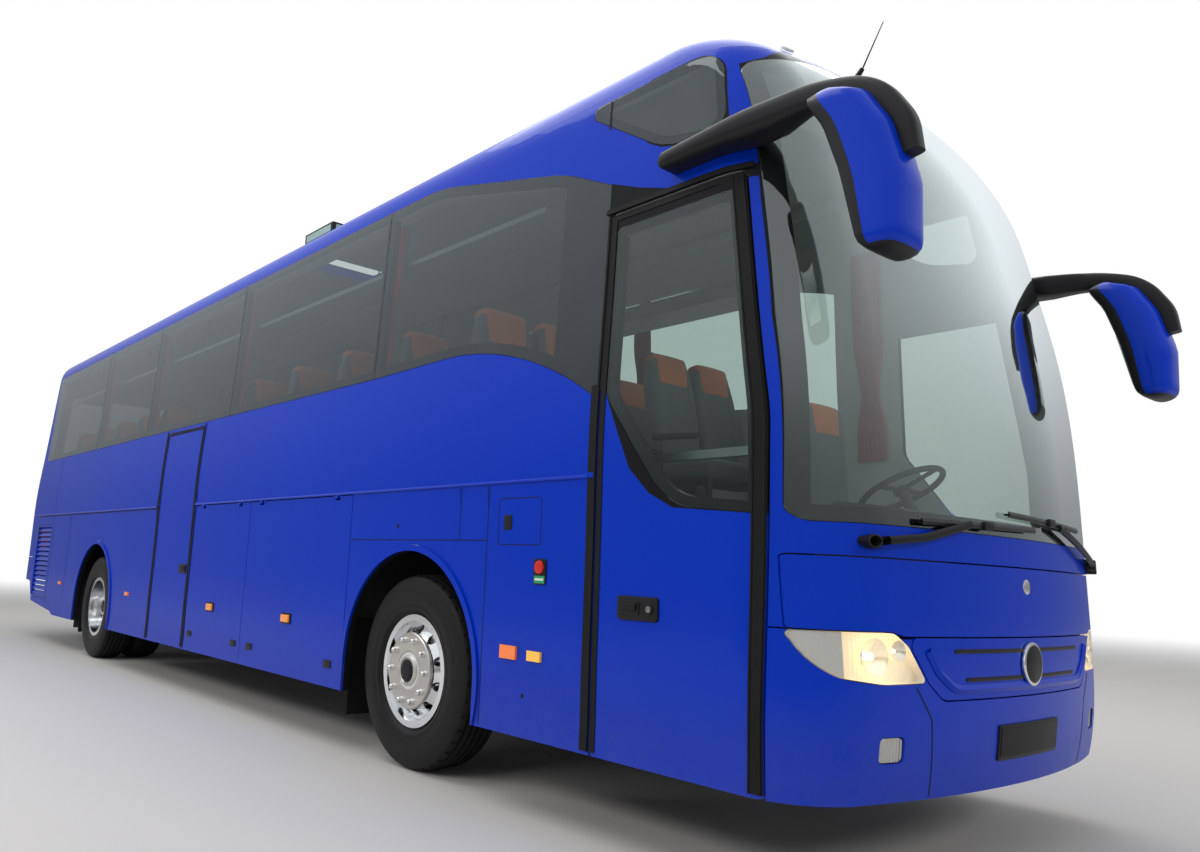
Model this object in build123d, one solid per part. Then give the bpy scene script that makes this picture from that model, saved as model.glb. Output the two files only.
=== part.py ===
from build123d import *
from math import cos, radians, sin, sqrt
import os

os.makedirs("parts", exist_ok=True)

# A two-axle touring coach. Millimetres, +Z up, front towards -Y, passenger doors on the -X side.
# The origin is on the ground, at the middle of the overall box. Stations count back from the front face.

# Overall size
body_length = 12140.0
body_width = 2550.0
mirror_reach = 233.5
overall_length = body_length + mirror_reach
y_front = -overall_length / 2 + mirror_reach
y_rear = overall_length / 2
half_body = body_width / 2

# Heights
skirt_height = 335.0
moulding_height = 1509.0
belt_height = 2222.0
window_top = 3332.0
cantrail_height = 3375.0
roof_height = 3556.0

# Walls and gaps
wall = 45.0
leaf_thickness = 40.0
glass_thickness = 8.0
glass_bed = 0.3
panel_gap = 6.0
door_gap = 8.0
seat_gap = 0.3
pin_clearance = 0.3

# Reaches of the cutting tools
side_near = 1150.0
side_far = 1400.0
below_skirt = 300.0
ahead = -300.0
past_rear = body_length + 100

# Plan shape of the nose
nose_radius = 4400.0

# Wheels and axles
tyre_diameter = 1044.0
tyre_width = 290.0
rim_flange_diameter = 604.0
front_axle_station = 2760.0
wheelbase = 6090.0
rear_axle_station = front_axle_station + wheelbase
wheel_inset = 40.0
twin_gap = 44.0
wheel_height = tyre_diameter / 2
front_wheel_x = half_body - wheel_inset - tyre_width / 2
kingpin_x = 900.0
kingpin_radius = 24.0
arch_radius = 650.0

# Doors, as stations of the leaf edges
front_door_start = 417.0
front_door_end = 1284.0
front_door_top = 2728.0
middle_door_start = 6123.0
middle_door_end = 7011.0
middle_door_top = 2190.0

# Saloon
floor_height = 1360.0
floor_thickness = 40.0
bay_floor_height = 420.0
platform_height = 960.0
platform_end = 1500.0

# The hull's horizontal sections, from the skirt to the roof's flat.
# Columns: height, half width, front set back, rear set back, front corner radius, rear corner radius
hull_sections = [
    (skirt_height, half_body, 72, 2, 320, 260),
    (620, half_body, 32, 2, 360, 260),
    (900, half_body, 27, 2, 420, 260),
    (1300, half_body, 36, 4, 460, 260),
    (1750, half_body, 56, 20, 450, 260),
    (2300, half_body - 28, 121, 70, 420, 260),
    (2700, half_body - 47, 212, 120, 390, 260),
    (3000, half_body - 60, 290, 160, 370, 260),
    (3250, half_body - 70, 396, 200, 350, 260),
    (cantrail_height, half_body - 82, 480, 230, 335, 250),
    (3450, half_body - 110, 560, 270, 325, 240),
    (3505, half_body - 160, 640, 330, 320, 240),
    (3540, half_body - 235, 725, 410, 320, 240),
    (roof_height, half_body - 355, 850, 540, 320, 240),
]


def y_at(station):
    return y_front + station


def plan_outline(height, half_width, front, rear, front_corner, rear_corner, inset):
    w = half_width - inset
    nose = nose_radius - inset
    nose_centre = y_front + front + nose_radius
    corner = front_corner - inset
    reach = nose - corner
    corner_x = w - corner
    corner_y = nose_centre - sqrt(reach**2 - corner_x**2)
    tangent_x = corner_x / reach * nose
    tangent_y = nose_centre + (corner_y - nose_centre) / reach * nose
    bend = ((tangent_x - corner_x) / corner + 1, (tangent_y - corner_y) / corner)
    bend_length = sqrt(bend[0] ** 2 + bend[1] ** 2)
    mid_x = corner_x + corner * bend[0] / bend_length
    mid_y = corner_y + corner * bend[1] / bend_length
    back = y_rear - rear - inset
    rear_radius = rear_corner - inset
    rear_x = w - rear_radius
    rear_y = back - rear_radius
    diagonal = rear_radius * cos(radians(45))
    edges = [
        ThreePointArc((-tangent_x, tangent_y), (0, nose_centre - nose), (tangent_x, tangent_y)),
        ThreePointArc((tangent_x, tangent_y), (mid_x, mid_y), (w, corner_y)),
        Line((w, corner_y), (w, rear_y)),
        ThreePointArc((w, rear_y), (rear_x + diagonal, rear_y + diagonal), (rear_x, back)),
        Line((rear_x, back), (-rear_x, back)),
        ThreePointArc((-rear_x, back), (-rear_x - diagonal, rear_y + diagonal), (-w, rear_y)),
        Line((-w, rear_y), (-w, corner_y)),
        ThreePointArc((-w, corner_y), (-mid_x, mid_y), (-tangent_x, tangent_y)),
    ]
    return Pos(0, 0, height) * Face(Wire(edges))


def hull(inset):
    """The coach's outside, set in by a thickness; its foot runs past the skirt so that shells stay open."""
    faces = []
    for height, half_width, front, rear, front_corner, rear_corner in hull_sections:
        z = height - inset if height > cantrail_height else height
        if inset and height == skirt_height:
            z = height - wall
        faces.append(plan_outline(z, half_width, front, rear, front_corner, rear_corner, inset))
    return loft(faces)


def interpolate(height, column):
    rows = hull_sections
    if height <= rows[0][0]:
        return rows[0][column]
    for low, high in zip(rows, rows[1:]):
        if height <= high[0]:
            share = (height - low[0]) / (high[0] - low[0])
            return low[column] + share * (high[column] - low[column])
    return rows[-1][column]


def half_width_at(height):
    return interpolate(height, 1)


def nose_station(x, height):
    """Station of the nose's outside at a place across the coach and a height."""
    corner = interpolate(height, 4)
    front = interpolate(height, 2)
    reach = nose_radius - corner
    corner_x = half_width_at(height) - corner
    corner_station = front + nose_radius - sqrt(reach**2 - corner_x**2)
    tangent_x = corner_x / reach * nose_radius
    if abs(x) <= tangent_x:
        return front + nose_radius - sqrt(nose_radius**2 - x**2)
    across = min(abs(x) - corner_x, corner)
    return corner_station - sqrt(corner**2 - across**2)


def flat_outline(points):
    """A closed outline from rows of two places and a corner radius."""
    places = [(across, up) for across, up, radius in points]
    radii = [radius for across, up, radius in points]
    return Face(Wire(FilletPolyline(*places, radius=radii, close=True).edges()))


def side_extrude(face, side, near=600.0, far=1500.0):
    """A side-view face of stations and heights, run across one side of the coach."""
    placed = Plane(origin=(side * near, y_front, 0), x_dir=(0, 1, 0), z_dir=(1, 0, 0)) * face
    return extrude(placed, amount=far - near, dir=(side, 0, 0))


def side_prism(points, side, grow=0.0, near=600.0, far=1500.0):
    face = flat_outline(points)
    if grow:
        face = offset(face, amount=grow)
    return side_extrude(face, side, near, far)


def span(side, near, far):
    return sorted((side * near, side * far))


def front_prism(points, grow=0.0, start=-300.0, depth=1500.0):
    """A front-view outline of places across and heights, run back through the nose."""
    face = flat_outline(points)
    if grow:
        face = offset(face, amount=grow)
    placed = Plane(origin=(0, y_at(start), 0), x_dir=(1, 0, 0), z_dir=(0, -1, 0)) * face
    return extrude(placed, amount=depth, dir=(0, 1, 0))


def block(across, stations, heights):
    size = [high - low for low, high in (across, stations, heights)]
    middle = [(low + high) / 2 for low, high in (across, stations, heights)]
    return Pos(middle[0], y_at(middle[1]), middle[2]) * Box(*size)


def rod(start, end, radius):
    """A round bar between two points given as across, station, height."""
    first = Vector(start[0], y_at(start[1]), start[2])
    last = Vector(end[0], y_at(end[1]), end[2])
    axis = last - first
    return Solid.make_cylinder(radius, axis.length, Plane(origin=first, z_dir=axis))


def flipped(points):
    return [(-across, up, radius) for across, up, radius in points]


def save(name, *shapes):
    solids = []
    for shape in shapes:
        solids.extend(shape.solids())
    whole = solids[0] if len(solids) == 1 else Compound(children=solids)
    whole.label = name
    export_step(whole, f"parts/{name}.step")


outside = hull(0)
glass_back = hull(glass_thickness)
glass_seat = hull(glass_thickness + glass_bed)
leaf_inside = hull(leaf_thickness)
inside = hull(wall)
carrier_face = hull(wall + seat_gap)
carrier_back = hull(wall + 30)
glass_layer = outside - glass_back
glass_pocket = outside - glass_seat

# Side-view outlines. Columns: station, height, corner radius
front_door_outline = [
    (front_door_start, skirt_height, 20),
    (front_door_end, skirt_height, 20),
    (front_door_end, front_door_top, 30),
    (front_door_start + 140, front_door_top, 30),
    (front_door_start, 1720, 900),
]
front_door_glass_outline = [
    (front_door_start + 30, 1335, 30),
    (880, 1372, 350),
    (1256, 1870, 150),
    (1256, front_door_top - 68, 40),
    (front_door_start + 165, front_door_top - 68, 40),
    (front_door_start + 36, 1730, 900),
]
middle_door_outline = [
    (middle_door_start, skirt_height, 20),
    (middle_door_end, skirt_height, 20),
    (middle_door_end, middle_door_top, 30),
    (middle_door_start, middle_door_top, 30),
]
band_start = 1308.0
band_end = 11650.0
band_outline = [
    (band_start, 1862, 0),
    (1930, 2250, 2200),
    (3340, belt_height, 3000),
    (band_end, belt_height, 60),
    (band_end, window_top, 60),
    (2780, window_top, 1500),
    (1640, 3055, 1200),
    (band_start, 2895, 0),
]
quarter_outline = [
    (1560, 3343, 40),
    (1010, 2985, 400),
    (640, 2915, 100),
    (705, 3338, 110),
]
pane_seams = [band_start, 3340.0, 5620.0, 7680.0, 9410.0, band_end]
first_clear_station = 1640.0
glass_band = 62.0
pane_frit = 45.0

# Front-view outlines. Columns: across, height, corner radius
windscreen_outline = [
    (-1222, 1312, 60),
    (1222, 1312, 60),
    (1212, 2100, 3000),
    (1146, 3262, 70),
    (700, 3382, 900),
    (-700, 3382, 900),
    (-1146, 3262, 70),
    (-1212, 2100, 3000),
]
service_flap_outline = [
    (-1226, 932, 10),
    (-905, 932, 20),
    (-850, 916, 60),
    (850, 916, 60),
    (905, 932, 20),
    (1226, 932, 10),
    (1226, 1190, 10),
    (-1226, 1190, 10),
]
headlamp_outline = [
    (1234, 926, 15),
    (900, 926, 60),
    (830, 880, 60),
    (735, 750, 12),
    (960, 748, 400),
    (1180, 775, 160),
]
grille_outline = [
    (-838, 910, 30),
    (-722, 752, 40),
    (-640, 686, 80),
    (640, 686, 80),
    (722, 752, 40),
    (838, 910, 30),
]
service_gap = 6.0
front_piece_depth = 690.0


def cut_window(panel, prism_outer, prism_inner):
    pocket = glass_pocket & prism_outer
    return panel - pocket - prism_inner


def pane_prism(side, start, end, inset):
    """The window band between two stations, set in from its edges."""
    face = flat_outline(band_outline)
    if inset:
        face = offset(face, amount=-inset)
    tall = 2 * (window_top - belt_height)
    window = Pos((start + end) / 2, (window_top + belt_height) / 2) * Rectangle(end - start, tall)
    return side_extrude(face & window, side)


def cut_side_windows(panel, side):
    """Beds for the glass of one side, and the clear openings behind it."""
    panel -= glass_pocket & side_prism(band_outline, side)
    panel -= glass_pocket & side_prism(quarter_outline, side)
    panel -= side_prism(quarter_outline, side, -pane_frit)
    for start, end in zip(pane_seams, pane_seams[1:]):
        clear_start = first_clear_station if start == band_start else start + pane_frit
        panel -= pane_prism(side, clear_start, end - pane_frit, glass_band)
    return panel


# Under the rear overhang the skirt rises. Columns: station, height, corner radius
departure_outline = [
    (10400, 200, 0),
    (10400, skirt_height, 0),
    (10520, 372, 0),
    (11530, 447, 60),
    (11690, 690, 60),
    (12400, 720, 0),
    (12400, 200, 0),
]
side_seam_front = 600.0
side_seam_rear = 11700.0
bumper_top = 926.0
rear_bumper_top = 985.0


def arch_cut(side, axle_station):
    face = Pos(axle_station, wheel_height) * Circle(arch_radius)
    face += Pos(axle_station, wheel_height / 2) * Rectangle(2 * arch_radius, wheel_height)
    return side_extrude(face, side)


arch_lip = 34.0
lip_depth = 12.0
lip_root = 5.0


def arch_lip_ring(side, axle_station):
    ring = Circle(arch_radius + arch_lip) - Circle(arch_radius)
    size = 2 * (arch_radius + arch_lip)
    above_skirt = Pos(axle_station, skirt_height + size / 2) * Rectangle(size, size)
    face = (Pos(axle_station, wheel_height) * ring) & above_skirt
    return side_extrude(face, side, half_body - lip_root, half_body + lip_depth)


# Luggage flaps. Columns: name, side, start station, end station
luggage_flaps = [
    ("right_front", -1, 3446.0, 4960.0),
    ("right_rear", -1, 4966.0, 6084.0),
    ("left_front", 1, 3446.0, 5784.0),
    ("left_rear", 1, 5790.0, 8120.0),
]
flap_top = moulding_height - panel_gap
hinge_pin_radius = 5.0
hinge_inset = 190.0
notch_width = 64.0
notch_depth = 26.0
notch_reach = 50.0
pin_overhang = 22.0
lug_width = 30.0
lug_inward = 13.0
lug_outward = 12.0
lug_lift = 8.0
moulding_depth = 11.0
moulding_root = 20.0
moulding_width = 24.0
moulding_starts = {-1: front_door_end + 20, 1: 760.0}
moulding_end = side_seam_rear - 60


def flap_prism(side, start, end, grow=0.0):
    return block(span(side, side_near, side_far), (start - grow, end + grow), (0, flap_top + grow))


def hinge_stations(start, end):
    return (start + hinge_inset, end - hinge_inset)


def luggage_flap(side, start, end):
    flap = (outside & flap_prism(side, start, end)) - leaf_inside
    heights = (flap_top - notch_depth, flap_top + notch_reach)
    for station in hinge_stations(start, end):
        notch = (station - notch_width / 2, station + notch_width / 2)
        flap -= block(span(side, side_near, side_far), notch, heights)
        flap += rod(
            (side * half_body, notch[0] - pin_overhang, flap_top),
            (side * half_body, notch[1] + pin_overhang, flap_top),
            hinge_pin_radius,
        )
    return flap


def hinge_lugs(side, start, end):
    lugs = []
    for station in hinge_stations(start, end):
        lug = block(
            span(side, half_body - lug_inward, half_body + lug_outward),
            (station - lug_width / 2, station + lug_width / 2),
            (flap_top - lug_inward, moulding_height + lug_lift),
        )
        bore = rod(
            (side * half_body, station - lug_width, flap_top),
            (side * half_body, station + lug_width, flap_top),
            hinge_pin_radius + pin_clearance,
        )
        lugs.append(lug - bore)
    return lugs


# Side louvres. Columns: start station, end station, bottom, top
louvre_opening = (10850.0, 11580.0, 500.0, 1395.0)
louvre_count = 14
louvre_frame = 30.0


def side_wall(side):
    heights = (below_skirt, cantrail_height - seat_gap)
    panel = (outside & block(span(side, 300, side_far), (side_seam_front, side_seam_rear), heights)) - inside
    panel += block(
        span(side, half_body - moulding_root, half_body + moulding_depth),
        (moulding_starts[side], moulding_end),
        (moulding_height, moulding_height + moulding_width),
    )
    for station in (front_axle_station, rear_axle_station):
        panel += arch_lip_ring(side, station)
    for station in (front_axle_station, rear_axle_station):
        panel -= arch_cut(side, station)
    flaps = [(start, end) for name, flap_side, start, end in luggage_flaps if flap_side == side]
    for start, end in flaps:
        panel -= flap_prism(side, start, end, panel_gap)
    if side < 0:
        panel -= side_prism(front_door_outline, side, door_gap)
        panel -= side_prism(middle_door_outline, side, door_gap)
    else:
        panel = cut_window(
            panel,
            side_prism(front_door_glass_outline, side),
            side_prism(front_door_glass_outline, side, -pane_frit),
        )
    panel = cut_side_windows(panel, side)
    start, end, bottom, top = louvre_opening
    panel -= block(span(side, side_near, side_far), (start, end), (bottom, top))
    panel -= side_prism(departure_outline, side)
    for start, end in flaps:
        for lug in hinge_lugs(side, start, end):
            panel += lug
    return panel


# Front of the body
nose_stations = (ahead, 500.0)
# Clearances around the lamps. Columns: half width, bottom, top
panel_notch = (1100.0, 880.0, 1000.0)
bumper_notch = (905.0, 905.0, 1000.0)
lamp_gap = 4.0
spindle_radius = 16.0
spindle_bore_depth = 800.0
wiper_pivots = [(-1000.0, 1248.0), (940.0, 1240.0), (985.0, 1224.0)]
fog_lamp_centre = (905.0, 520.0)
fog_lamp_size = (116.0, 84.0)
fog_lamp_depth = 900.0
fog_lamp_corner = 22.0


def rectangle_points(side, centre, size, grow, corner):
    x, z = side * centre[0], centre[1]
    half_x = size[0] / 2 + grow
    half_z = size[1] / 2 + grow
    return [
        (x - half_x, z - half_z, corner),
        (x + half_x, z - half_z, corner),
        (x + half_x, z + half_z, corner),
        (x - half_x, z + half_z, corner),
    ]


def fog_prism(side, grow=0.0):
    shape = rectangle_points(side, fog_lamp_centre, fog_lamp_size, grow, fog_lamp_corner)
    return front_prism(shape, depth=fog_lamp_depth)


def nose_notch(half_width, bottom, top):
    return block((-half_width, half_width), nose_stations, (bottom, top))


def full_width(stations, heights):
    return block((-side_far, side_far), stations, heights)


def front_panel():
    heights = (bumper_top + panel_gap, cantrail_height - seat_gap)
    panel = (outside & full_width((ahead, side_seam_front - seat_gap), heights)) - inside
    panel -= front_prism(service_flap_outline, service_gap, depth=front_piece_depth)
    panel -= nose_notch(*panel_notch)
    panel = cut_window(panel, front_prism(windscreen_outline), front_prism(windscreen_outline, -glass_band))
    panel -= side_prism(front_door_outline, -1, door_gap)
    panel = cut_window(
        panel,
        side_prism(front_door_glass_outline, 1),
        side_prism(front_door_glass_outline, 1, -pane_frit),
    )
    for x, z in wiper_pivots:
        panel -= rod((x, ahead, z), (x, ahead + spindle_bore_depth, z), spindle_radius + pin_clearance)
    return panel


def service_flap():
    return (outside & front_prism(service_flap_outline, depth=front_piece_depth)) - inside


def headlamp(side):
    points = headlamp_outline if side > 0 else flipped(headlamp_outline)
    return (outside & front_prism(points, depth=front_piece_depth)) - inside


def grille_panel():
    return (outside & front_prism(grille_outline, depth=grille_depth)) - inside


grille_depth = 500.0
lamp_cut_extra = 20.0
fog_gap = 4.0
bumper_split = 410.0


def front_bumper():
    bumper = (outside & full_width((ahead, bumper_split - seat_gap), (below_skirt, bumper_top))) - inside
    for side in (-1, 1):
        points = headlamp_outline if side > 0 else flipped(headlamp_outline)
        bumper -= front_prism(points, lamp_gap, depth=front_piece_depth + lamp_cut_extra)
        bumper -= fog_prism(side, fog_gap)
    bumper -= front_prism(grille_outline, service_gap, depth=grille_depth)
    bumper -= front_prism(service_flap_outline, service_gap, depth=front_piece_depth)
    bumper -= nose_notch(*bumper_notch)
    bumper -= side_prism(front_door_outline, -1, door_gap)
    return bumper


def fog_lamp(side):
    return (glass_back & fog_prism(side)) - inside


def left_corner():
    """The driver's side skirt between the bumper and the side wall's first seam."""
    heights = (below_skirt, bumper_top + panel_gap - seat_gap)
    region = block((300, side_far), (bumper_split, side_seam_front - seat_gap), heights)
    return (outside & region) - inside


# Rear of the body. Columns of an outline: across, height, corner radius
rear_window_outline = [
    (-1060, 2270, 60),
    (1060, 2270, 60),
    (1030, 3220, 120),
    (-1030, 3220, 120),
]
engine_door_outline = (-880.0, 880.0, 1010.0, 1760.0)
tail_lamp_size = (150.0, 560.0)
tail_lamp_centre = (1110.0, 1400.0)
tail_lamp_corner = 40.0
tail_lamp_reach = 700.0


def rear_prism(points, grow=0.0, depth=900.0):
    face = flat_outline(points)
    if grow:
        face = offset(face, amount=grow)
    placed = Plane(origin=(0, y_rear - ahead, 0), x_dir=(1, 0, 0), z_dir=(0, -1, 0)) * face
    return extrude(placed, amount=depth, dir=(0, -1, 0))


def tail_prism(side, grow=0.0):
    points = rectangle_points(side, tail_lamp_centre, tail_lamp_size, grow, tail_lamp_corner)
    return rear_prism(points, depth=tail_lamp_reach)


def engine_door_prism(grow=0.0):
    left, right, bottom, top = engine_door_outline
    return block((left - grow, right + grow), engine_door_cut, (bottom - grow, top + grow))


engine_door_cut = (body_length - 250, past_rear)
engine_hinge_x = 620.0
engine_axis_height = engine_door_outline[3]
engine_axis_station = body_length - interpolate(engine_axis_height, 3)


def rear_panel():
    heights = (rear_bumper_top + panel_gap, cantrail_height - seat_gap)
    panel = (outside & full_width((side_seam_rear + seat_gap, past_rear), heights)) - inside
    panel = cut_window(panel, rear_prism(rear_window_outline), rear_prism(rear_window_outline, -glass_band))
    panel -= engine_door_prism(panel_gap)
    for side in (-1, 1):
        panel -= tail_prism(side, lamp_gap)
        panel += engine_hinge_lug(side)
    return panel


def engine_hinge_lug(side):
    x = side * engine_hinge_x
    station = engine_axis_station
    height = engine_axis_height
    lug = block(
        (x - lug_width / 2, x + lug_width / 2),
        (station - lug_inward, station + lug_outward),
        (height - lug_inward, height + panel_gap + lug_lift),
    )
    radius = hinge_pin_radius + pin_clearance
    bore = rod((x - lug_width, station, height), (x + lug_width, station, height), radius)
    return lug - bore


def engine_door():
    door = (outside & engine_door_prism()) - leaf_inside
    station = engine_axis_station
    height = engine_axis_height
    for side in (-1, 1):
        x = side * engine_hinge_x
        notch = (x - notch_width / 2, x + notch_width / 2)
        door -= block(notch, engine_door_cut, (height - notch_depth, height + notch_reach))
        start, end = notch[0] - pin_overhang, notch[1] + pin_overhang
        door += rod((start, station, height), (end, station, height), hinge_pin_radius)
    return door


def rear_bumper():
    region = full_width((side_seam_rear + seat_gap, past_rear), (below_skirt, rear_bumper_top))
    bumper = (outside & region) - inside
    for side in (-1, 1):
        bumper -= side_prism(departure_outline, side, near=0)
    return bumper


# Roof
hatch_across = (-850.0, -150.0)
hatch_stations = (4870.0, 5350.0)
hatch_lift = 150.0
hatch_skirt = 92.0
hatch_wall = 28.0
hatch_top = 20.0
hatch_frame = 60.0
curb_height = 34.0
curb_wall = 18.0
through_roof = (3400.0, 3700.0)


def roof():
    top = (outside - inside) & full_width((0, past_rear), (cantrail_height, roof_height + curb_height))
    top = cut_window(top, front_prism(windscreen_outline), front_prism(windscreen_outline, -glass_band))
    across = (hatch_across[0] + hatch_frame, hatch_across[1] - hatch_frame)
    stations = (hatch_stations[0] + hatch_frame, hatch_stations[1] - hatch_frame)
    top += block(
        (across[0] - curb_wall, across[1] + curb_wall),
        (stations[0] - curb_wall, stations[1] + curb_wall),
        (roof_height, roof_height + curb_height),
    )
    top -= block(across, stations, through_roof)
    stay_hole = Cylinder(stay_radius + pin_clearance, through_roof[1] - through_roof[0])
    for x, y in stay_places():
        sleeve = Cylinder(stay_sleeve_radius, stay_sleeve_top - roof_height)
        top += Pos(x, y, (roof_height + stay_sleeve_top) / 2) * sleeve
        top -= Pos(x, y, roof_height) * stay_hole
    return top


stay_radius = 6.0
stay_sleeve_radius = 12.0
stay_sleeve_top = roof_height + 40
stay_bottom = 3467.0
stay_inset = 42.0
stay_along = 120.0


def stay_places():
    xs = (hatch_across[0] + stay_inset, hatch_across[1] - stay_inset)
    ys = (y_at(hatch_stations[0]) + stay_along, y_at(hatch_stations[1]) - stay_along)
    return [(x, y) for x in xs for y in ys]


def roof_hatch():
    low = roof_height + hatch_lift
    high = low + hatch_skirt
    lid = block(hatch_across, hatch_stations, (low, high))
    inner_across = (hatch_across[0] + hatch_wall, hatch_across[1] - hatch_wall)
    inner_stations = (hatch_stations[0] + hatch_wall, hatch_stations[1] - hatch_wall)
    lid -= block(inner_across, inner_stations, (low - hatch_top, high - hatch_top))
    stay_top = high - hatch_top / 2
    for x, y in stay_places():
        lid += Pos(x, y, (stay_bottom + stay_top) / 2) * Cylinder(stay_radius, stay_top - stay_bottom)
    return lid


conditioner_stations = (5950.0, 8600.0)
conditioner_half_width = 905.0
conditioner_height = 146.0
# Its outline at rising heights. Columns: share of the height, narrower, shorter, corner radius
conditioner_levels = [(0.0, 0, 0, 120), (0.6, 30, 130, 110), (1.0, 190, 390, 70)]


def air_conditioner():
    start, end = conditioner_stations
    outlines = []
    for share, narrower, shorter, corner in conditioner_levels:
        height = roof_height + seat_gap + conditioner_height * share
        outline = RectangleRounded(2 * conditioner_half_width - narrower, end - start - shorter, corner)
        outlines.append(Pos(0, y_at((start + end) / 2), height) * outline)
    return loft(outlines, ruled=True)


# Glass, with a seal gap at its edges
seal_gap = 3.0


def windscreen():
    return glass_layer & front_prism(windscreen_outline, -seal_gap)


def rear_window():
    return glass_layer & rear_prism(rear_window_outline, -seal_gap)


def side_glass(side):
    panes = []
    for start, end in zip(pane_seams, pane_seams[1:]):
        panes.append(glass_layer & pane_prism(side, start + seal_gap, end - seal_gap, seal_gap))
    panes.append(glass_layer & side_prism(quarter_outline, side, -seal_gap))
    if side > 0:
        panes.append(glass_layer & side_prism(front_door_glass_outline, side, -seal_gap))
    return panes


# Doors. A column inside the doorway carries two arms. It stands at the front door's front edge
# and at the middle door's rear edge, so the middle door opens away from the luggage flaps.
arm_x = 1090.0
arm_heights = (620.0, 1600.0)
arm_thickness = 36.0
arm_width = 40.0
column_radius = 25.0
column_top = 1760.0
leaf_pin_radius = 12.0
front_column_station = 500.0
front_leaf_pin_station = 1120.0
middle_column_station = 6919.0
middle_leaf_pin_station = 6299.0
fork_plate = 14.0
fork_half = 30.0
fork_below = 20.0
fork_above = 6.0
fork_reach = 22.0


def door_arms(column_station, pin_station, tread_height):
    bottom = tread_height + seat_gap
    arms = rod((-arm_x, column_station, bottom), (-arm_x, column_station, column_top), column_radius)
    bore = leaf_pin_radius + pin_clearance
    for height in arm_heights:
        low, high = height - arm_thickness / 2, height + arm_thickness / 2
        across = (-arm_x - arm_width / 2, -arm_x + arm_width / 2)
        arms += block(across, sorted((column_station, pin_station)), (low, high))
        arms += rod((-arm_x, pin_station, low), (-arm_x, pin_station, high), arm_width / 2)
        arms -= rod((-arm_x, pin_station, low - fork_above), (-arm_x, pin_station, high + fork_above), bore)
    return arms


def leaf_lugs(pin_station):
    """Forked brackets behind the leaf, one for each arm."""
    brackets = []
    across = (-half_body + leaf_thickness - 2, -arm_x + fork_reach)
    stations = (pin_station - fork_half, pin_station + fork_half)
    for height in arm_heights:
        lowest = height - arm_thickness / 2 - fork_below
        upper = height + arm_thickness / 2 + fork_above
        for level in (lowest, upper):
            brackets.append(block(across, stations, (level, level + fork_plate)))
        pin_top = upper + fork_plate
        brackets.append(rod((-arm_x, pin_station, lowest), (-arm_x, pin_station, pin_top), leaf_pin_radius))
    return brackets


def front_door_leaf():
    leaf = (outside & side_prism(front_door_outline, -1)) - leaf_inside
    leaf = cut_window(
        leaf,
        side_prism(front_door_glass_outline, -1),
        side_prism(front_door_glass_outline, -1, -pane_frit),
    )
    for piece in leaf_lugs(front_leaf_pin_station):
        leaf += piece
    return leaf


def front_door_glass():
    return glass_layer & side_prism(front_door_glass_outline, -1, -3)


def middle_door_leaf():
    leaf = (outside & side_prism(middle_door_outline, -1)) - leaf_inside
    for piece in leaf_lugs(middle_leaf_pin_station):
        leaf += piece
    return leaf


# Structure under the floor: plates, rails and cross members, a hairline apart where they are welded
bay_start = 3463.0
bay_end = 8170.0
bay_plate = 40.0
bulkhead_thickness = 40.0
divider_station = 4943.0
wall_bulge = 4.0
wall_seat = half_body - wall - wall_bulge
stairwell_inner = 420.0
stairwell_outer = 1215.0
stairwell_wall = 24.0
stairwell_stations = (6088.0, 7022.0)
front_rail_x = (300.0, 400.0)
rear_rail_x = (480.0, 560.0)
front_rail_levels = (640.0, 860.0)
rear_rail_levels = (800.0, 980.0)
front_rail_start = 125.5
# Cross members. Columns: start station, end station, reach from the middle
front_members = [(1560.0, 1660.0, wall_seat), (1900.0, 1960.0, 560.0)]
rear_members = [(9490.0, 9580.0, wall_seat), (11520.0, 11610.0, wall_seat), (11870.0, 11930.0, 0.0)]
frame_levels = (430.0, 1184.0)
frame_half = 1150.0
jack_pad = 160.0
jack_pad_drop = 24.0
jack_stations = (3560.0, 8060.0)
jack_x = 900.0
hitch_station = 11930.0
hitch_bottom = 470.0
hitch_half = 120.0
hitch_thickness = 20.0
hitch_spacing = (160.0, 100.0)
hitch_hole_radius = 8.5
hitch_height = 580.0
tow_bore_radius = 20.5
tow_lug_levels = (400.0, 440.0)
tow_lug_stations = (240.0, 420.0)
tow_station = 330.0
tow_hanger = 60.0


def luggage_bay_plates():
    bottom = bay_floor_height
    base = bottom - bay_plate
    heights = (bottom + seat_gap, floor_height - floor_thickness - seat_gap)
    plates = [block((-wall_seat, wall_seat), (bay_start, bay_end), (base, bottom))]
    for station in (bay_start, divider_station, bay_end - bulkhead_thickness):
        plates.append(block((-wall_seat, wall_seat), (station, station + bulkhead_thickness), heights))
    for station in stairwell_stations:
        stations = (station, station + stairwell_wall)
        plates.append(block((-stairwell_outer, -stairwell_inner), stations, heights))
    between = (stairwell_stations[0] + stairwell_wall + seat_gap, stairwell_stations[1] - seat_gap)
    plates.append(block((-stairwell_inner - stairwell_wall, -stairwell_inner), between, heights))
    for x in (-jack_x, jack_x):
        for station in jack_stations:
            stations = (station - jack_pad / 2, station + jack_pad / 2)
            across = (x - jack_pad / 2, x + jack_pad / 2)
            plates.append(block(across, stations, (base - jack_pad_drop, base - seat_gap)))
    return plates


def cross_member(start, end, reach, rail_x, levels):
    """One length between the rails, and one outside each rail where it reaches that far."""
    lengths = [block((-rail_x[0] + seat_gap, rail_x[0] - seat_gap), (start, end), levels)]
    if reach > rail_x[1]:
        for side in (-1, 1):
            lengths.append(block(span(side, rail_x[1] + seat_gap, reach), (start, end), levels))
    return lengths


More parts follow.
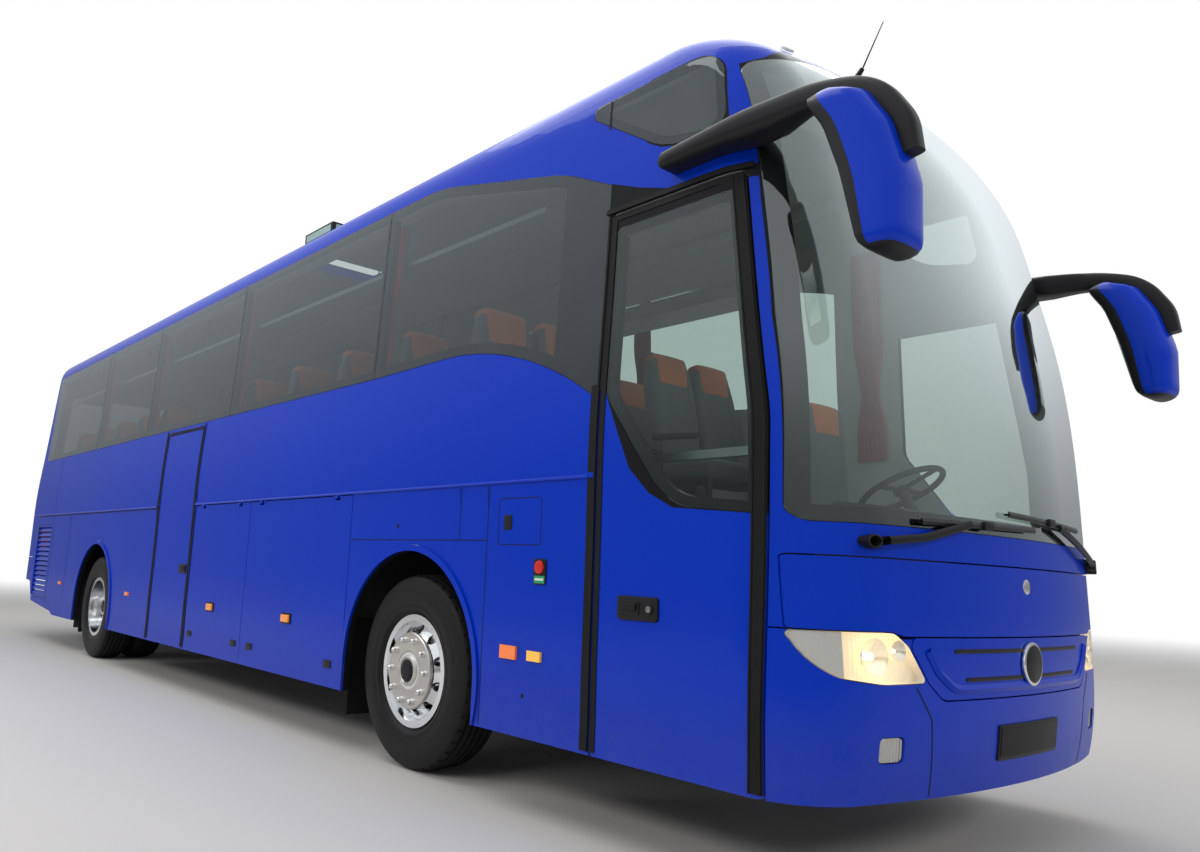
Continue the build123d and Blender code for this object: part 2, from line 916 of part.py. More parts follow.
def rails():
    pieces = []
    for side in (-1, 1):
        front_stations = (front_rail_start, bay_start - seat_gap)
        pieces.append(block(span(side, *front_rail_x), front_stations, front_rail_levels))
        rear_stations = (bay_end + seat_gap, hitch_station)
        pieces.append(block(span(side, *rear_rail_x), rear_stations, rear_rail_levels))
    for start, end, reach in front_members:
        pieces.extend(cross_member(start, end, reach, front_rail_x, front_rail_levels))
    for start, end, reach in rear_members:
        pieces.extend(cross_member(start, end, reach, rear_rail_x, rear_rail_levels))
    return pieces


def hitch_plate():
    heights = (hitch_bottom, rear_rail_levels[0] - seat_gap)
    plate = block((-hitch_half, hitch_half), (hitch_station - hitch_thickness, hitch_station), heights)
    for x in (-hitch_spacing[0] / 2, hitch_spacing[0] / 2):
        for z in (hitch_height - hitch_spacing[1] / 2, hitch_height + hitch_spacing[1] / 2):
            plate -= rod((x, hitch_station - 80, z), (x, hitch_station + 20, z), hitch_hole_radius)
    return plate


def front_carrier():
    """The shell that holds the bumper, and the towing plate hung from the rails."""
    region = block((-frame_half, frame_half), (ahead, side_seam_front), frame_levels)
    shell = (carrier_face - carrier_back) & region
    outer = front_rail_x[1]
    plate = block((-outer, outer), tow_lug_stations, tow_lug_levels)
    low, high = tow_lug_levels
    plate -= rod((0, tow_station, low - 50), (0, tow_station, high + 50), tow_bore_radius)
    pieces = [shell, plate]
    heights = (tow_lug_levels[1] + seat_gap, front_rail_levels[0] - seat_gap)
    for side in (-1, 1):
        pieces.append(block(span(side, outer - tow_hanger, outer), tow_lug_stations, heights))
    return pieces


# Steps at the front door. Columns: outer x, inner x, tread height
platform_inner = -440.0
front_steps = [(-1200.0, -960.0, 400.0), (-960.0, -700.0, 590.0), (-700.0, platform_inner, 780.0)]
# Steps at the middle door
deck_notch_x = -450.0
deck_notch_stations = (6100.0, 7034.0)
middle_steps = [(-1195.0, -940.0, 480.0), (-940.0, -680.0, 770.0), (-680.0, deck_notch_x, 1060.0)]
front_step_stations = (432.0, 1272.0)
middle_step_stations = (6116.0, 7018.0)
tread_thickness = 24.0
riser_thickness = 20.0
door_bulkhead = 24.0
door_bulkhead_bottom = 376.0
platform_outer = 1180.0
platform_thickness = 40.0
platform_riser = 40.0
deck_end = side_seam_rear - 60
# The step from the platform up to the aisle. Columns: across, stations, heights
aisle_step = (
    (platform_inner, 120.0),
    (1260.0, platform_end - platform_riser - seat_gap),
    (platform_height + seat_gap, 1160.0),
)


def stair(steps, stations, top_height):
    """Treads and risers, a hairline apart."""
    parts = []
    heights = [step[2] for step in steps] + [top_height]
    for (outer, inner, height), above in zip(steps, heights[1:]):
        parts.append(block((outer, inner), stations, (height - tread_thickness, height)))
        parts.append(block((inner - riser_thickness, inner - seat_gap), stations, (height + seat_gap, above)))
    return parts


def saloon_floor():
    """Deck boards, the driver's platform, the bulkhead behind the front door and both stairs."""
    deck = (floor_height - floor_thickness, floor_height)
    notch_start, notch_end = deck_notch_stations
    bulkhead_start = front_step_stations[1]
    bulkhead_end = bulkhead_start + door_bulkhead
    boards = [
        block((-wall_seat, wall_seat), (platform_end, notch_start), deck),
        block((deck_notch_x, wall_seat), (notch_start + seat_gap, notch_end - seat_gap), deck),
        block((-wall_seat, wall_seat), (notch_end, deck_end), deck),
        block((-wall_seat, platform_inner), (bulkhead_end + seat_gap, platform_end - seat_gap), deck),
        block(
            (-wall_seat, platform_inner),
            (bulkhead_start, bulkhead_end),
            (door_bulkhead_bottom, floor_height),
        ),
        block(
            (platform_inner, platform_outer),
            (platform_end - platform_riser, platform_end - seat_gap),
            (platform_height + seat_gap, floor_height),
        ),
        carrier_back & block(
            (platform_inner, platform_outer),
            (0, platform_end),
            (platform_height - platform_thickness, platform_height),
        ),
        block(*aisle_step),
    ]
    front_stations = (front_step_stations[0], bulkhead_start - seat_gap)
    front_stair = stair(front_steps, front_stations, platform_height)
    return boards + front_stair + stair(middle_steps, middle_step_stations, floor_height)


# Axles
axle_eye_radius = 42.0
axle_eye_half = 125.0
beam_half_width = 40.0
beam_half_height = 45.0
front_spring = (350.0, 70.0)
rear_spring = (515.0, 70.0)
kingpin_half = 165.0
knuckle_run = 2.0
# The knuckle's arms and its upright. Columns: start across from the kingpin, end across, half width
knuckle_arm = (-34.0, 85.0, 34.0)
knuckle_upright = (55.0, 85.0, 60.0)
spindle = 38.0
spindle_end = 120.0


def air_spring(side, station, spring, top):
    x = side * spring[0]
    return rod((x, station, wheel_height), (x, station, top - seat_gap), spring[1])


def front_axle():
    station = front_axle_station
    heights = (wheel_height - beam_half_height, wheel_height + beam_half_height)
    axle = block((-kingpin_x, kingpin_x), (station - beam_half_width, station + beam_half_width), heights)
    low, high = wheel_height - axle_eye_half, wheel_height + axle_eye_half
    for x in (-kingpin_x, kingpin_x):
        axle += rod((x, station, low), (x, station, high), axle_eye_radius)
        axle -= rod((x, station, low - 50), (x, station, high + 50), kingpin_radius + pin_clearance)
    for side in (-1, 1):
        axle += air_spring(side, station, front_spring, front_rail_levels[0])
    return axle


def knuckle(side):
    station = front_axle_station
    x = side * kingpin_x
    bottom, top = wheel_height - kingpin_half, wheel_height + kingpin_half
    piece = rod((x, station, bottom), (x, station, top), kingpin_radius)
    start, end, half = knuckle_arm
    eye_clear = axle_eye_half + knuckle_run
    for heights in ((bottom, wheel_height - eye_clear), (wheel_height + eye_clear, top)):
        piece += block(sorted((x + side * start, x + side * end)), (station - half, station + half), heights)
    start, end, half = knuckle_upright
    upright = sorted((x + side * start, x + side * end))
    piece += block(upright, (station - half, station + half), (bottom, top))
    tip = side * (front_wheel_x + spindle_end)
    piece += rod((x + side * start, station, wheel_height), (tip, station, wheel_height), spindle)
    return piece


axle_housing_radius = 92.0
rear_spindle_end = 1120.0
rear_spindle = 52.0
housing_end = 590.0
differential_radius = 210.0
pinion_radius = 90.0
pinion_reach = 330.0
pinion_rise = 40.0


def rear_axle():
    station = rear_axle_station
    height = wheel_height
    axle = rod((-housing_end, station, height), (housing_end, station, height), axle_housing_radius)
    axle += rod((-rear_spindle_end, station, height), (rear_spindle_end, station, height), rear_spindle)
    axle += Pos(0, y_at(station), height) * Sphere(differential_radius)
    axle += rod((0, station, height), (0, station + pinion_reach, height + pinion_rise), pinion_radius)
    for side in (-1, 1):
        axle += air_spring(side, station, rear_spring, rear_rail_levels[0])
    return axle


# Tyre section: across the tyre, radius
bead_radius = 286.0
tyre_section = [
    (-108, bead_radius),
    (-108, 306),
    (-137, 336),
    (-145, 405),
    (-139, 462),
    (-114, 511),
    (-96, 522),
    (96, 522),
    (114, 511),
    (139, 462),
    (145, 405),
    (137, 336),
    (108, 306),
    (108, bead_radius),
]
# Wheel sections, outwards from the wheel's middle plane: across, radius
rim_flange = rim_flange_diameter / 2
front_wheel_section = [
    (-120, 268),
    (-120, rim_flange),
    (-108 - seat_gap, rim_flange),
    (-108 - seat_gap, bead_radius - seat_gap),
    (108 + seat_gap, bead_radius - seat_gap),
    (108 + seat_gap, rim_flange),
    (120, rim_flange),
    (120, 268),
    (62, 262),
    (70, 240),
    (98, 204),
    (110, 192),
    (110, 104),
    (148, 98),
    (148, spindle + 25),
    (135, spindle + 25),
    (135, spindle + 0.3),
    (-60, spindle + 0.3),
    (-60, 95),
    (94, 95),
    (94, 184),
    (58, 234),
    (44, 268),
]
brake_section = [(-88, 60), (-88, 205), (-20, 205), (-20, 92), (-55, 92), (-55, 60)]
nut_circle = 335.0
nut_count = 10
nut_radius = 16.5
hand_hole_circle = 436.0
hand_hole_radius = 27.0
hand_hole_turn = 18.0
# Reaches of nuts and hand holes across the wheel, from its middle plane
front_nut_span = (100.0, 146.0)
front_hole_span = (20.0, 118.0)
rear_nut_span = (10.0, 58.0)
rear_hole_span = (-80.0, 90.0)


def turned(section, side, x):
    """A wheel section of places across and radii, turned about the axle's line."""
    points = [(side * across, radius) for across, radius in section]
    face = Face(Wire(Polyline(*points, close=True).edges()))
    placed = Plane(origin=(side * x, 0, 0), x_dir=(1, 0, 0), z_dir=(0, -1, 0)) * face
    return revolve(placed, axis=Axis.X, revolution_arc=360)


def around(side, x, reach, radius, circle, turn=0.0):
    """Round bars set in a ring about the axle's line."""
    low, high = sorted((side * (x + reach[0]), side * (x + reach[1])))
    bars = []
    for index in range(nut_count):
        angle = radians(turn + 360.0 / nut_count * index)
        origin = (low, circle / 2 * cos(angle), circle / 2 * sin(angle))
        bars.append(Solid.make_cylinder(radius, high - low, Plane(origin=origin, z_dir=(1, 0, 0))))
    return bars


def drilled_rim(rim, side, x, nut_span, hole_span):
    for nut in around(side, x, nut_span, nut_radius, nut_circle):
        rim += nut
    for hole in around(side, x, hole_span, hand_hole_radius, hand_hole_circle, hand_hole_turn):
        rim -= hole
    return rim


def at_axle(shape, station):
    return Pos(0, y_at(station), wheel_height) * shape


def tyre(side, x):
    return turned(tyre_section, side, x)


def front_rim(side):
    x = front_wheel_x
    rim = turned(front_wheel_section, side, x) + turned(brake_section, side, x)
    return drilled_rim(rim, side, x, front_nut_span, front_hole_span)


twin_pitch = tyre_width + twin_gap
twin_middle = front_wheel_x - twin_pitch / 2
twin_half = twin_pitch / 2
rear_wheel_section = [
    (-twin_half - 120, 268),
    (-twin_half - 120, rim_flange),
    (-twin_half - 108 - seat_gap, rim_flange),
    (-twin_half - 108 - seat_gap, bead_radius - seat_gap),
    (-twin_half + 108 + seat_gap, bead_radius - seat_gap),
    (-twin_half + 108 + seat_gap, rim_flange),
    (-twin_half + 120, rim_flange),
    (twin_half - 120, rim_flange),
    (twin_half - 108 - seat_gap, rim_flange),
    (twin_half - 108 - seat_gap, bead_radius - seat_gap),
    (twin_half + 108 + seat_gap, bead_radius - seat_gap),
    (twin_half + 108 + seat_gap, rim_flange),
    (twin_half + 120, rim_flange),
    (twin_half + 120, 268),
    (twin_half + 30, 262),
    (60, 250),
    (26, 205),
    (18, 186),
    (18, 120),
    (190, 104),
    (212, 90),
    (212, 70),
    (200, rear_spindle + 0.3),
    (-190, rear_spindle + 0.3),
    (-190, 110),
    (-18, 110),
    (-18, 190),
    (-60, 262),
    (-twin_half - 60, 262),
]


def rear_rim(side):
    rim = turned(rear_wheel_section, side, twin_middle)
    return drilled_rim(rim, side, twin_middle, rear_nut_span, rear_hole_span)


# Engine
engine_across = 420.0
engine_stations = (9990.0, 11440.0)
engine_levels = (520.0, 1250.0)
# Mounting bars between the rails: stations and heights
engine_bars = [(10150.0, 10250.0), (11180.0, 11280.0)]
engine_bar_levels = (840.0, 920.0)


def engine():
    mass = block((-engine_across, engine_across), engine_stations, engine_levels)
    reach = rear_rail_x[0] - seat_gap
    for stations in engine_bars:
        mass += block((-reach, reach), stations, engine_bar_levels)
    return mass


# Mirrors. A side's arm is set lower by its drop. Columns: side, drop
mirror_sides = [(-1, 0.0), (1, 92.0)]
mirror_x = 1302.0
mirror_arm_path = [(900, 2852), (480, 2884), (150, 2872), (-70, 2800), (-176, 2640), (-196, 2520)]
mirror_arm_radii = [1500, 900, 260, 180]
mirror_head_width = 250.0
mirror_arm_section = (34.0, 40.0)
# The arm's root on the body: inward and outward of the arm, stations, heights
mirror_root_reach = (130.0, 30.0)
mirror_root_stations = (560.0, 930.0)
mirror_root_levels = (2812.0, 2896.0)
mirror_root_corner = 20.0
mirror_head_outline = [
    (-62, 2792, 60),
    (-150, 2640, 200),
    (-204, 2440, 300),
    (-196, 2178, 60),
    (-40, 2212, 50),
    (30, 2500, 300),
    (90, 2680, 200),
    (190, 2812, 20),
    (60, 2838, 60),
]


def mirror_arm(side, drop):
    places = [(side * mirror_x, y_at(station), height - drop) for station, height in mirror_arm_path]
    path = FilletPolyline(*places, radius=mirror_arm_radii)
    section = Plane(origin=path @ 0, z_dir=path % 0, x_dir=(1, 0, 0)) * Ellipse(*mirror_arm_section)
    arm = sweep(section, path=path)
    inward, outward = mirror_root_reach
    heights = [height - drop for height in mirror_root_levels]
    root = block(span(side, mirror_x - inward, mirror_x + outward), mirror_root_stations, heights)
    root = fillet(root.edges().filter_by(Axis.Y), mirror_root_corner)
    return (arm + root) - outside


def mirror_head(side, drop):
    points = [(station, height - drop, radius) for station, height, radius in mirror_head_outline]
    low = mirror_x - mirror_head_width / 2
    head = side_prism(points, side, near=low, far=low + mirror_head_width)
    return head - mirror_arm(side, drop)


# Wipers: two pivots with a single arm and a pair of arms. Columns: across, height, stand off
door_side_arm = [(-1000, 1248, 34), (-760, 1275, 40), (-480, 1342, 34)]
door_side_blade = [(-760, 1336, 30), (60, 1352, 30)]
driver_arm = [(940, 1240, 34), (560, 1330, 38), (330, 1380, 34)]
driver_rear_arm = [(985, 1224, 34), (610, 1318, 38), (392, 1378, 34)]
driver_blade = [(-170, 1404, 30), (640, 1386, 30)]
wiper_arm_radius = 11.0
wiper_blade_radius = 12.0
wiper_boss_radius = 22.0
wiper_boss_stand = (46.0, 8.0)
spindle_stand = 12.0
spindle_depth = 90.0


def off_nose(x, height, stand_off):
    return (x, nose_station(x, height) - stand_off, height)


def bar(points, radius):
    pieces = []
    for first, second in zip(points, points[1:]):
        pieces.append(rod(off_nose(*first), off_nose(*second), radius))
    for point in points[1:-1]:
        x, station, height = off_nose(*point)
        pieces.append(Pos(x, y_at(station), height) * Sphere(radius))
    return pieces


def wiper(arms, blade):
    pieces = []
    for arm in arms:
        x, station, height = off_nose(*arm[0])
        front, back = station - spindle_stand, station + spindle_depth
        pieces.append(rod((x, front, height), (x, back, height), spindle_radius))
        start, end = wiper_boss_stand
        pieces.append(rod((x, station - start, height), (x, station - end, height), wiper_boss_radius))
        pieces.extend(bar(arm, wiper_arm_radius))
    middle = ((blade[0][0] + blade[1][0]) / 2, (blade[0][1] + blade[1][1]) / 2, blade[0][2])
    pieces.extend(bar([blade[0], middle, blade[1]], wiper_blade_radius))
    whole = pieces[0]
    for piece in pieces[1:]:
        whole += piece
    return whole


# Small things on the sides. Columns: side, station, height, length, tall
marker_table = [
    (-1, 1846, 708, 116, 62),
    (-1, 1657, 705, 92, 46),
    (-1, 7660, 706, 100, 34),
    (-1, 10170, 715, 100, 34),
    (1, 1846, 708, 116, 62),
    (1, 1657, 705, 92, 46),
    (1, 10170, 715, 100, 34),
]
marker_depth = 14.0


def markers():
    pieces = []
    for side, station, height, length, tall in marker_table:
        across = span(side, half_body - marker_depth, half_body + marker_depth)
        stations = (station - length / 2, station + length / 2)
        pieces.append(block(across, stations, (height - tall / 2, height + tall / 2)) - outside)
    return pieces


louvre_gap = 4.0
# A slat's section. Columns: set in from the side, share of the pitch above its middle
louvre_section = [(34.0, 0.42), (26.0, 0.42), (4.0, -0.38), (12.0, -0.38)]
louvre_sill = (43.0, 34.0)


def side_grille(side):
    start, end, bottom, top = louvre_opening
    clear = (start + louvre_frame, end - louvre_frame)
    low = bottom + louvre_frame
    edge = (start + louvre_gap, end - louvre_gap)
    reach = span(side, side_near, side_far)
    grille = (outside - leaf_inside) & block(reach, edge, (bottom + louvre_gap, top - louvre_gap))
    grille -= block(reach, clear, (low, top - louvre_frame))
    pitch = (top - bottom - 2 * louvre_frame) / louvre_count
    for index in range(louvre_count):
        height = low + pitch * (index + 0.5)
        points = [(side * (half_body - inset), height + pitch * share) for inset, share in louvre_section]
        face = Face(Wire(Polyline(*points, close=True).edges()))
        placed = Plane(origin=(0, y_at(clear[0] - 2), 0), x_dir=(1, 0, 0), z_dir=(0, -1, 0)) * face
        grille += extrude(placed, amount=clear[1] - clear[0] + 4, dir=(0, 1, 0))
    outer, inner = louvre_sill
    grille += block(span(side, half_body - outer, half_body - inner), edge, (bottom + louvre_gap, low))
    return grille


def tail_lamp(side):
    return (outside & tail_prism(side)) - inside


# Mud flaps. Columns: inner x, outer x, station of the carrier's face, bottom, top
mud_flap_table = [(960.0, 1210.0, bay_start, 190.0, 760.0), (640.0, 1200.0, 9490.0, 210.0, 960.0)]
mud_flap_thickness = 8.0


def mud_flaps():
    flaps = []
    for inner, outer, station, bottom, top in mud_flap_table:
        stations = (station - seat_gap - mud_flap_thickness, station - seat_gap)
        for side in (-1, 1):
            flaps.append(block(span(side, inner, outer), stations, (bottom, top)))
    return flaps


# Inside the saloon
dash_outline = [
    (330, platform_height + seat_gap, 0),
    (760, platform_height + seat_gap, 30),
    (840, 1330, 60),
    (720, 1470, 60),
    (400, 1430, 80),
    (150, 1290, 30),
]
wheel_centre = (620.0, 900.0, 1610.0)
steering_wheel_radius = 225.0
steering_tilt = 28.0
column_shaft_radius = 30.0
column_shaft_length = 330.0
steering_rim_radius = 16.0
steering_hub = (46.0, 24.0)
steering_spoke = (34.0, 12.0)
dash_reach = (-330.0, 1130.0)


def tilted(centre, tilt):
    return Plane(
        origin=(centre[0], y_at(centre[1]), centre[2]),
        x_dir=(1, 0, 0),
        z_dir=(0, sin(radians(tilt)), cos(radians(tilt))),
    )


def dashboard():
    near, far = dash_reach
    dash = side_prism(dash_outline, 1, near=near, far=far) & carrier_back
    drop = column_shaft_length + steering_hub[1] / 2 + 2 + seat_gap
    plane = tilted(wheel_centre, steering_tilt).offset(-drop)
    return dash + Solid.make_cylinder(column_shaft_radius, column_shaft_length, plane)


def steering_wheel():
    plane = tilted(wheel_centre, steering_tilt)
    radius = steering_wheel_radius
    across, thick = steering_spoke
    wheel = plane * Torus(radius, steering_rim_radius)
    wheel += plane * (Pos(0, 0, -2) * Cylinder(*steering_hub))
    wheel += plane * Box(2 * radius - 8, across, thick)
    wheel += plane * (Pos(0, -radius / 2, 0) * Box(across, radius - 8, thick))
    return wheel


seat_pitch = 780.0
seat_first = 1930.0
seat_cushion_height = 450.0
cushion_thickness = 110.0
cushion_depth = 420.0
seat_back_height = 1190.0
seat_width = 435.0
aisle_half = 275.0
seat_recline = 110.0
seat_back_foot = 85.0
seat_back_head = 80.0
seat_back_corners = (20.0, 34.0)
place_gap = 8.0
leg_width = 50.0
leg_inset = 60.0
# Rows of double seats. Columns: side, first station, number of rows
seat_rows = [(-1, seat_first, 5), (-1, 7160.0, 5), (1, seat_first, 12)]


def seat_back(foot_station, recline, low, high):
    """A back's side view, from its foot's front edge."""
    foot_corner, head_corner = seat_back_corners
    return [
        (foot_station, low, 0),
        (foot_station + seat_back_foot, low, foot_corner),
        (foot_station + seat_back_foot + recline, high, head_corner),
        (foot_station + seat_back_foot - seat_back_head + recline, high, head_corner),
    ]


def double_seat(side, station):
    """Two places: one cushion on two legs, and two backs."""
    level = floor_height + seat_gap
    outer = aisle_half + 2 * seat_width
    low = level + seat_cushion_height - cushion_thickness
    cushion = block(
        span(side, aisle_half, outer), (station, station + cushion_depth), (low, level + seat_cushion_height)
    )
    pieces = [cushion]
    for x in (aisle_half + leg_inset, outer - leg_inset - leg_width):
        stations = (station + leg_inset, station + cushion_depth)
        pieces.append(block(span(side, x, x + leg_width), stations, (level, low - seat_gap)))
    back = seat_back(station + cushion_depth + seat_gap, seat_recline, low, level + seat_back_height)
    for place in (0, 1):
        start = aisle_half + place * seat_width + place_gap
        pieces.append(side_prism(back, side, near=start, far=start + seat_width - 2 * place_gap))
    return pieces


driver_seat_x = (400.0, 840.0)
driver_seat_station = 1000.0
driver_cushion = (330.0, 390.0, 510.0)
driver_pedestal = (100.0, 80.0, 320.0)
driver_back_height = 1180.0
driver_recline = 30.0


def driver_seat():
    level = platform_height + seat_gap
    x0, x1 = driver_seat_x
    station = driver_seat_station
    depth, low, high = driver_cushion
    side, front, rear = driver_pedestal
    back = seat_back(station + depth + seat_gap, driver_recline, level + low, level + driver_back_height)
    return [
        block((x0, x1), (station, station + depth), (level + low, level + high)),
        block((x0 + side, x1 - side), (station + front, station + rear), (level, level + low - seat_gap)),
        side_prism(back, 1, near=x0, far=x1),
    ]


rack_across = (780.0, 1080.0)
rack_levels = (2985.0, 3095.0)
rack_stations = (1950.0, 11250.0)
rack_shelf = 30.0
rack_hanger = 36.0
rack_hanger_length = 60.0
rack_hanger_count = 6
roof_inner = roof_height - wall


def luggage_rack(side):
    """A shelf, its lip and the hangers that carry the lip from the roof."""
    low, lip_top = rack_levels
    start, end = rack_stations
    lip_edge = rack_across[0] + rack_hanger
    lip = span(side, rack_across[0], lip_edge)
    pieces = [
        block(span(side, lip_edge + seat_gap, rack_across[1]), rack_stations, (low, low + rack_shelf)),
        block(lip, rack_stations, rack_levels),
    ]
    for index in range(rack_hanger_count):
        station = start + (end - start - rack_hanger_length) * index / (rack_hanger_count - 1)
        heights = (lip_top + seat_gap, roof_inner - seat_gap)
        pieces.append(block(lip, (station, station + rack_hanger_length), heights))
    return pieces


curtain_seams = pane_seams[1:-1]
curtain_half = 90.0
curtain_levels = (2290.0, 3250.0)
curtain_thickness = 34.0


def curtains():
    layer = carrier_face - hull(wall + curtain_thickness)
    pieces = []
    for side in (-1, 1):
        for station in curtain_seams:
            stations = (station - curtain_half, station + curtain_half)
            pieces.append(layer & block(span(side, 900, side_far), stations, curtain_levels))
    return pieces


def build():
    save("underframe", *luggage_bay_plates(), *rails(), hitch_plate(), *front_carrier())
    save("saloon_floor", *saloon_floor())
    windscreen_cut = front_prism(windscreen_outline)
    windscreen_clear = front_prism(windscreen_outline, -glass_band)
    for side, word in ((-1, "right"), (1, "left")):
        save(f"side_wall_{word}", cut_window(side_wall(side), windscreen_cut, windscreen_clear))
    save("roof", roof())
    save("front_panel", front_panel())
    save("service_flap", service_flap())
    save("front_grille", grille_panel())
    save("rear_panel", rear_panel())
    save("bumpers", front_bumper(), left_corner(), rear_bumper())
    save("windscreen", windscreen())
    save("rear_window", rear_window())
    save("side_windows", *side_glass(-1), *side_glass(1))
    save("headlamps", headlamp(-1), headlamp(1), fog_lamp(-1), fog_lamp(1))
    save("tail_lamps", tail_lamp(-1), tail_lamp(1))
    save("marker_lamps", *markers())
    save("side_grilles", side_grille(-1), side_grille(1))
    save("mud_flaps", *mud_flaps())
    save(
        "wipers",
        wiper([door_side_arm], door_side_blade),
        wiper([driver_arm, driver_rear_arm], driver_blade),
    )
    save("mirror_arms", *[mirror_arm(side, drop) for side, drop in mirror_sides])
    save("mirror_heads", *[mirror_head(side, drop) for side, drop in mirror_sides])
    save("air_conditioner", air_conditioner())
    save("roof_hatch", roof_hatch())
    save("engine", engine())
    save("front_axle", front_axle())
    save("rear_axle", rear_axle())
    save("dashboard", dashboard())
    save("steering_wheel", steering_wheel())
    seats = driver_seat()
    for side, first, count in seat_rows:
        for index in range(count):
            seats.extend(double_seat(side, first + index * seat_pitch))
    save("seats", *seats)
    save("luggage_racks", *luggage_rack(-1), *luggage_rack(1))
    save("curtains", *curtains())
    for side, word in ((-1, "right"), (1, "left")):
        save(f"knuckle_{word}", knuckle(side))
        save(f"tyre_front_{word}", at_axle(tyre(side, front_wheel_x), front_axle_station))
        save(f"rim_front_{word}", at_axle(front_rim(side), front_axle_station))
        save(
            f"tyres_rear_{word}",
            at_axle(tyre(side, front_wheel_x), rear_axle_station),
            at_axle(tyre(side, front_wheel_x - twin_pitch), rear_axle_station),
        )
        save(f"rims_rear_{word}", at_axle(rear_rim(side), rear_axle_station))
    save("front_door_leaf", front_door_leaf())
    save("front_door_glass", front_door_glass())
    save("front_door_arms", door_arms(front_column_station, front_leaf_pin_station, front_steps[0][2]))
    save("middle_door_leaf", middle_door_leaf())
    save("middle_door_arms", door_arms(middle_column_station, middle_leaf_pin_station, middle_steps[0][2]))
    for name, side, start, end in luggage_flaps:
        save(f"luggage_flap_{name}", luggage_flap(side, start, end))
    save("engine_door", engine_door())


build()
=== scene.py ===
import bmesh
import bpy
import math
from mathutils import Matrix, Vector
from mathutils.bvhtree import BVHTree


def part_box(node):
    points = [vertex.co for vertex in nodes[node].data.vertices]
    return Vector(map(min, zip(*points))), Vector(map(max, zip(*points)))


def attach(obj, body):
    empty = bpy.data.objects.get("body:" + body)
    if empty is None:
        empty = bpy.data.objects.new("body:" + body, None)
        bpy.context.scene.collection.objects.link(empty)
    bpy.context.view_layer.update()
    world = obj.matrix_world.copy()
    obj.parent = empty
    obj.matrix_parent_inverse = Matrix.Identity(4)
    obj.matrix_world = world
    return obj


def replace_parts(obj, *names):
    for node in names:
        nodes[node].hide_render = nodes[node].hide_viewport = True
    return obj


# Touring coach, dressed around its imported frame. Metres, front towards -Y, doors on the -X side.
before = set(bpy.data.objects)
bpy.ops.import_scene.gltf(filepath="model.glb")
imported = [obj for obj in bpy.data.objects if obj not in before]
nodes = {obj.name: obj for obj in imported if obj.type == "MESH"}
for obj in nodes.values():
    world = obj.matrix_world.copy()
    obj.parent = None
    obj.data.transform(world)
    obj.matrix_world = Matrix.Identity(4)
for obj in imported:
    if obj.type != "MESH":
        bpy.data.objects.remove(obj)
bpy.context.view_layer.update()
print("frame loaded", len(nodes), "nodes")

coach = {"frontAxle": 2.76, "rearAxle": 8.85, "wheelHeight": 0.522, "middleDoorStart": 6.123, "floor": 1.36}
sides = ((-1, "right"), (1, "left"))
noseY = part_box("middle_door_leaf")[0].y - coach["middleDoorStart"]  # stations count back from here


def at(station):
    return noseY + station


# Outside of the body, for details that lie on it
luggageFlaps = " ".join(f"luggage_flap_{side}_{end}" for _, side in sides for end in ("front", "rear"))
skinNodes = f"""
side_wall_right side_wall_left roof front_panel service_flap front_grille rear_panel bumpers windscreen
rear_window side_windows headlamps tail_lamps front_door_leaf front_door_glass middle_door_leaf {luggageFlaps}
engine_door side_grilles
""".split()


def skinTree():
    verts, faces = [], []
    for name in skinNodes:
        base = len(verts)
        mesh = nodes[name].data
        verts.extend(v.co.copy() for v in mesh.vertices)
        faces.extend([base + i for i in p.vertices] for p in mesh.polygons)
    return BVHTree.FromPolygons(verts, faces)


skin = skinTree()
faceRays = {  # where a ray starts for a place (u, v), and which way it runs
    "right": (lambda u, v: Vector((-3, at(u), v)), Vector((1, 0, 0))),
    "left": (lambda u, v: Vector((3, at(u), v)), Vector((-1, 0, 0))),
    "nose": (lambda u, v: Vector((u, at(-3), v)), Vector((0, 1, 0))),
    "rear": (lambda u, v: Vector((u, at(15), v)), Vector((0, -1, 0))),
    "roof": (lambda u, v: Vector((u, at(v), 6)), Vector((0, 0, -1))),
}
rayReach = 0.011  # neighbours that look over a panel gap


def skinPoint(face, u, v):
    start, way = faceRays[face]
    best = None
    for du, dv in ((0, 0), (rayReach, 0), (-rayReach, 0), (0, rayReach), (0, -rayReach)):
        place, normal, _, distance = skin.ray_cast(start(u + du, v + dv), way)
        if place is None:
            continue
        if best is None or distance < best[0] - 0.006:
            best = (distance, normal if normal.dot(way) < 0 else -normal)
    if best is None:
        return start(u, v) + way * 1.8, -way
    return start(u, v) + way * best[0], best[1]


# Shader sums
def operator(kind, swapped=False):
    def run(self, other=0.0):
        first, second = (other, self) if swapped else (self, other)
        return self.shader.maths(kind, first, second)
    return run


class Sum:
    def __init__(self, shader, socket):
        self.shader = shader
        self.socket = socket

    __add__, __sub__, __mul__, __truediv__ = map(operator, ("ADD", "SUBTRACT", "MULTIPLY", "DIVIDE"))
    __gt__, __lt__, __abs__ = map(operator, ("GREATER_THAN", "LESS_THAN", "ABSOLUTE"))
    __radd__, __rsub__, __rmul__ = (operator(kind, True) for kind in ("ADD", "SUBTRACT", "MULTIPLY"))


